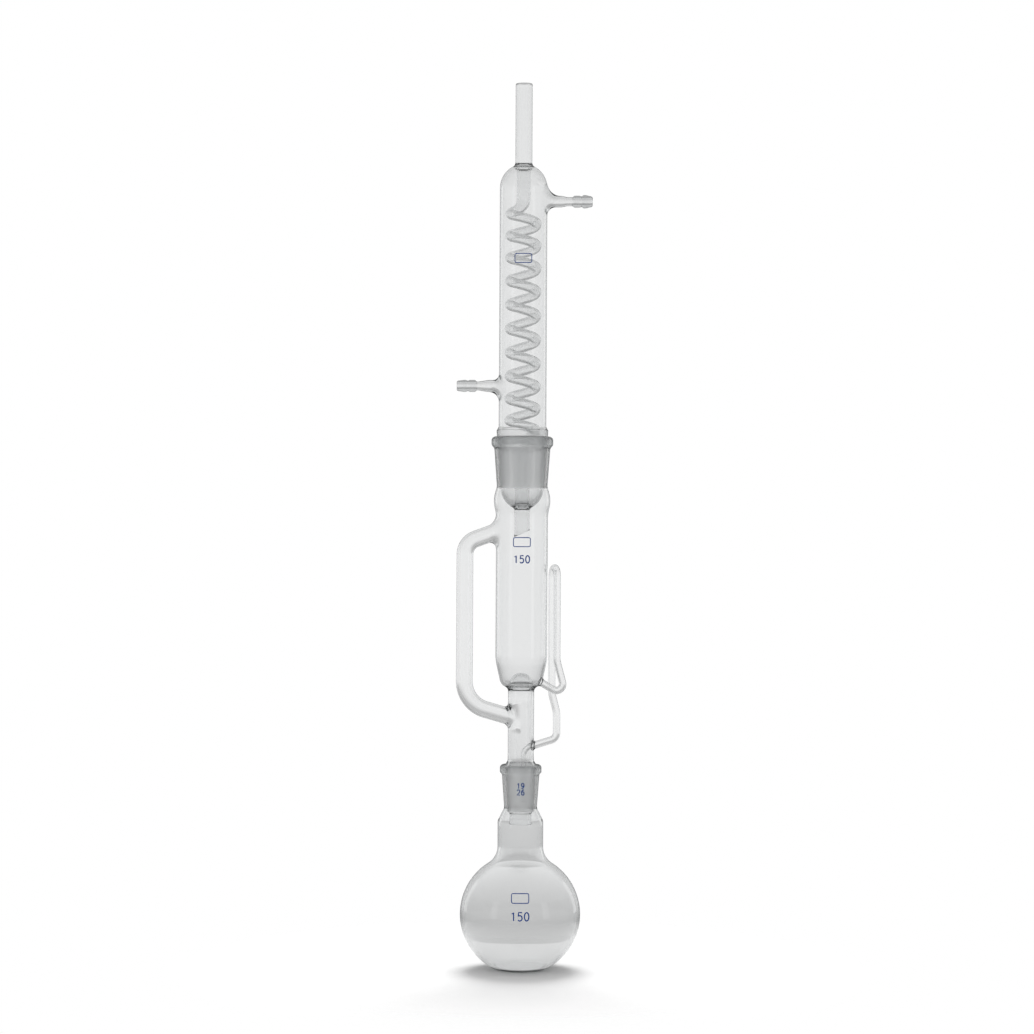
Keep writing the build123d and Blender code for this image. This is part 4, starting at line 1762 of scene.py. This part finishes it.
@dataclass(frozen=True)
class Lamp:
    """A soft lamp that neither the camera nor a ray through the glass sees.

    Attributes:
        name: Its name.
        shape: Its outline.
        size: How wide and how high it is.
        watts: How strong it is.
        place: Where it stands.
        aim: The place that it shines at.
        mirrored: Whether the glass mirrors it.
    """

    name: str
    shape: LampShape
    size: tuple[float, float]
    watts: float
    place: tuple[float, float, float]
    aim: tuple[float, float, float]
    mirrored: bool = True

    def make(self) -> bpy.types.Object:
        """Set up the lamp, turned towards its aim.

        Returns:
            The lamp.
        """
        light = bpy.data.lights.new(self.name, "AREA")
        light.shape = self.shape.value
        light.size, light.size_y = self.size[0] * MM, self.size[1] * MM
        light.energy = self.watts
        lamp = placed(self.name, light)
        lamp.location = Vector(self.place) * MM
        towards = Vector(self.aim) * MM - lamp.location
        lamp.rotation_euler = towards.to_track_quat("-Z", "Y").to_euler()
        lamp.visible_camera = False
        lamp.visible_transmission = False
        lamp.visible_glossy = self.mirrored
        return lamp


OVERHEAD = Lamp(
    "overhead",
    LampShape.ROUND,
    size=(900.0, 900.0),
    watts=22.0,
    place=(0.0, 750.0, 1550.0),
    aim=(0.0, 0.0, 0.0),
    mirrored=False,
)


@dataclass(frozen=True)
class Studio:
    """A white studio: a bright world that the glass bends, a floor that only shows a shadow, and soft lamps.

    The world has one brightness for each way in which it is looked at. A direction's level is its height at
    length one: 0 is level, 1 straight up and -1 straight down.

    Attributes:
        shown: Brightness of the background as the camera sees it.
        bent: Brightness through glass, at and above bent_shallow.
        bent_low: Brightness through glass, at and below bent_slope.
        bent_slope: How far below level bent_low starts.
        bent_shallow: How far below level bent ends.
        bent_steep: Share of that brightness that is left in steep directions, up or down.
        bent_level: How far from level a direction starts to be steep.
        bent_end: How far from level it is steep in full.
        mirrored: Brightness of the sides in what the glass mirrors.
        mirrored_top: Brightness of the top in what it mirrors.
        mirrored_start: The level where the sides end.
        mirrored_end: The level where the top starts.
        mirrored_inside: Brightness of what the glass mirrors inside itself.
        fill: Brightness that lights the floor and the enamel.
        floor_radius: How far the floor goes.
        floor_drop: How far it lies below the flask.
        floor_sides: How many sides its round edge has.
        floor_colour: Its colour.
        floor_fade_start: The distance from its middle where it starts to fade into the background.
        floor_fade_end: The distance where it has faded.
        floor_glow_share: Through glass, the share of the floor that is a painted glow: a set brightness that
            shows no shadow.
        floor_glow_near: The painted glow's brightness near the middle, a painted pool of light under the
            flask. Farther away it is bent_low.
        floor_near_radius: How far the near part goes.
        floor_near_edge: How wide its edge is.
        softbox_azimuths: Where the softboxes stand round the set, in degrees.
        softbox_distance: How far they are from the axis.
        softbox_height: How high their middles are.
        softbox_aim: Height of the place on the axis that they shine at.
        softbox_size: How wide and how high they are.
        softbox_watts: How strong each is.
    """

    shown: float = 1.0
    bent: float = 0.99
    bent_low: float = 0.62
    bent_slope: float = 0.15
    bent_shallow: float = 0.05
    bent_steep: float = 0.7
    bent_level: float = 0.08
    bent_end: float = 0.75
    mirrored: float = 0.2
    mirrored_top: float = 1.0
    mirrored_start: float = 0.3
    mirrored_end: float = 0.95
    mirrored_inside: float = 0.8
    fill: float = 0.75
    floor_radius: float = 520.0
    floor_drop: float = 0.05
    floor_sides: int = 128
    floor_colour: str = "E8E8E8"
    floor_fade_start: float = 70.0
    floor_fade_end: float = 220.0
    # Through glass the floor is a painted glow with no shadow, brighter in a painted pool of light near the
    # middle.
    floor_glow_share: float = 0.9
    floor_glow_near: float = 0.86
    floor_near_radius: float = 87.0
    floor_near_edge: float = 2.0
    softbox_azimuths: tuple[float, ...] = (-140.0, -40.0, 40.0, 140.0)
    softbox_distance: float = 1300.0
    softbox_height: float = 300.0
    softbox_aim: float = 270.0
    softbox_size: tuple[float, float] = (300.0, 700.0)
    softbox_watts: float = 0.6

    def world(self) -> None:
        """Light the scene evenly, with one brightness each for what is seen, bent, mirrored and lit."""
        world = bpy.data.worlds.new("studio")
        bpy.context.scene.world = world
        world.use_nodes = True
        nodes = Nodes(world.node_tree)
        path = nodes.add("ShaderNodeLightPath")
        place = nodes.add("ShaderNodeTexCoord")
        split = nodes.add("ShaderNodeSeparateXYZ", Vector=place.outputs["Generated"])
        height = nodes.add(
            "ShaderNodeMapRange",
            {"interpolation_type": "SMOOTHSTEP"},
            Value=split.outputs["Z"],
            From_Min=self.mirrored_start,
            From_Max=self.mirrored_end,
            To_Min=self.mirrored,
            To_Max=self.mirrored_top,
        )
        bent = nodes.add(
            "ShaderNodeMapRange",
            Value=split.outputs["Z"],
            From_Min=-self.bent_slope,
            From_Max=-self.bent_shallow,
            To_Min=self.bent_low,
            To_Max=self.bent,
        )
        steep = nodes.add("ShaderNodeMath", {"operation": "ABSOLUTE"}, i0=split.outputs["Z"])
        steepness = nodes.add(
            "ShaderNodeMapRange",
            Value=steep.outputs[0],
            From_Min=self.bent_level,
            From_Max=self.bent_end,
            To_Min=1.0,
            To_Max=self.bent_steep,
        )
        bent = nodes.add(
            "ShaderNodeMath", {"operation": "MULTIPLY"}, i0=bent.outputs[0], i1=steepness.outputs[0]
        )
        inside = nodes.add(
            "ShaderNodeMath", {"operation": "GREATER_THAN"}, i0=path.outputs["Transmission Depth"], i1=0.5
        )
        mirrored = nodes.add(
            "ShaderNodeMix", Factor=inside.outputs[0], i2=height.outputs["Result"], i3=self.mirrored_inside
        )
        lit = nodes.add(
            "ShaderNodeMix", Factor=path.outputs["Is Glossy Ray"], i2=self.fill, i3=mirrored.outputs[0]
        )
        passed = nodes.add(
            "ShaderNodeMix", Factor=path.outputs["Is Transmission Ray"], i2=lit.outputs[0], i3=bent.outputs[0]
        )
        seen = nodes.add(
            "ShaderNodeMix", Factor=path.outputs["Is Camera Ray"], i2=passed.outputs[0], i3=self.shown
        )
        background = nodes.add("ShaderNodeBackground", Strength=seen.outputs[0])
        background.inputs["Color"].default_value = srgb("FFFFFF")
        nodes.add("ShaderNodeOutputWorld", Surface=background.outputs["Background"])

    def floor(self) -> bpy.types.Object:
        """Lay a round floor that fades into the background, so that only the shadow on it shows.

        Through glass most of it is a painted glow of a set brightness without shadow, brighter within
        floor_near_radius: a painted pool of light that gives the flask its bright lower zone.

        Returns:
            The floor.
        """
        material, nodes = new_material("floor")
        place = nodes.add("ShaderNodeTexCoord")
        away = nodes.add("ShaderNodeVectorMath", {"operation": "LENGTH"}, i0=place.outputs["Object"])
        fade = nodes.add(
            "ShaderNodeMapRange",
            {"interpolation_type": "SMOOTHSTEP"},
            Value=away.outputs["Value"],
            From_Min=self.floor_fade_start * MM,
            From_Max=self.floor_fade_end * MM,
        )
        diffuse = nodes.add("ShaderNodeBsdfDiffuse", Color=srgb(self.floor_colour))
        path = nodes.add("ShaderNodeLightPath")
        through = path.outputs["Is Transmission Ray"]
        share = nodes.add("ShaderNodeMath", {"operation": "MULTIPLY"}, i0=through, i1=self.floor_glow_share)
        glow_strength = nodes.add(
            "ShaderNodeMapRange",
            Value=away.outputs["Value"],
            From_Min=self.floor_near_radius * MM,
            From_Max=(self.floor_near_radius + self.floor_near_edge) * MM,
            To_Min=self.floor_glow_near,
            To_Max=self.bent_low,
        )
        # Painted light: seen through glass, the floor glows with a set brightness, brighter within
        # floor_near_radius, and shows no shadow.
        painted_glow = nodes.add("ShaderNodeEmission", Strength=glow_strength.outputs["Result"])
        near = nodes.add(
            "ShaderNodeMixShader", Fac=share.outputs[0], i1=diffuse.outputs[0], i2=painted_glow.outputs[0]
        )
        clear = nodes.add("ShaderNodeBsdfTransparent")
        whole = nodes.add("ShaderNodeMixShader", Fac=fade.outputs[0], i1=near.outputs[0], i2=clear.outputs[0])
        nodes.add("ShaderNodeOutputMaterial", Surface=whole.outputs[0])
        mesh = bpy.data.meshes.new("floor")
        shape = bmesh.new()
        radius = self.floor_radius * MM
        bmesh.ops.create_circle(shape, cap_ends=True, segments=self.floor_sides, radius=radius)
        shape.to_mesh(mesh)
        shape.free()
        mesh.materials.append(material)
        floor = placed("floor", mesh)
        floor.location.z = -self.floor_drop * MM
        return floor

    def softboxes(self) -> list[Lamp]:
        """Soft lamps round the set: each at distance * (cos(azimuth), sin(azimuth)).

        Returns:
            The lamps.
        """
        lamps = []
        for azimuth in self.softbox_azimuths:
            angle = np.radians(azimuth)
            x, y = self.softbox_distance * np.cos(angle), self.softbox_distance * np.sin(angle)
            lamps.append(
                Lamp(
                    f"softbox_{azimuth:.0f}",
                    LampShape.BOX,
                    size=self.softbox_size,
                    watts=self.softbox_watts,
                    place=(float(x), float(y), self.softbox_height),
                    aim=(0.0, 0.0, self.softbox_aim),
                )
            )
        return lamps

    def build(self) -> None:
        """Set up the world, the floor and the lamps."""
        self.world()
        lamps = [OVERHEAD, *self.softboxes()]
        stage = [self.floor(), *[lamp.make() for lamp in lamps]]


@dataclass(frozen=True)
class Viewpoint:
    """The photograph's viewpoint: level with the middle of the set, straight ahead along +Y.

    Attributes:
        place: Where the camera stands, in millimetres.
        seen_width: How wide a strip it sees at the object's axis.
        up: How far it looks up, in degrees.
        roll: How far it leans, in degrees.
        sensor: How wide its picture plane is.
        nearest: How near it sees.
    """

    place: tuple[float, float, float] = (-3.0, -1630.0, 257.0)
    seen_width: float = 620.4
    up: float = 0.48
    roll: float = 0.3
    sensor: float = 36.0
    nearest: float = 50.0

    def build(self) -> None:
        """Set up the camera: field of view = 2 * atan(half the width / the distance)."""
        lens = bpy.data.cameras.new("camera")
        lens.sensor_width = self.sensor
        lens.angle = 2 * float(np.arctan(self.seen_width / 2 / -self.place[1]))
        lens.clip_start = self.nearest * MM
        camera = placed("camera", lens)
        tilt = Matrix.Rotation(np.radians(90.0 + self.up), 4, "X")
        lean = Matrix.Rotation(np.radians(self.roll), 4, "Z")
        camera.matrix_world = Matrix.Translation(Vector(self.place) * MM) @ tilt @ lean
        bpy.context.scene.camera = camera


# How often a ray may be bent by glass, and mirrored by it. A ray through the coil meets some twenty skins.
BENT_BOUNCES = 32
MIRRORED_BOUNCES = 12


def main() -> None:
    """Build the three pieces of glass, the marks on them, the studio and the camera."""
    logging.basicConfig(level=logging.INFO, format="%(name)s: %(message)s")
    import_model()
    clear = CLEAR.make()
    for piece in (FLASK, EXTRACTOR, CONDENSER):
        piece.build(clear)
    enamel = ENAMEL.make()
    for mark in MARKS:
        mark.build(enamel)
    Studio().build()
    Viewpoint().build()
    cycles = bpy.context.scene.cycles
    cycles.max_bounces = BENT_BOUNCES
    cycles.transmission_bounces = BENT_BOUNCES
    cycles.glossy_bounces = MIRRORED_BOUNCES
    bpy.context.scene.view_settings.view_transform = "Standard"


if __name__ == "__main__":
    main()
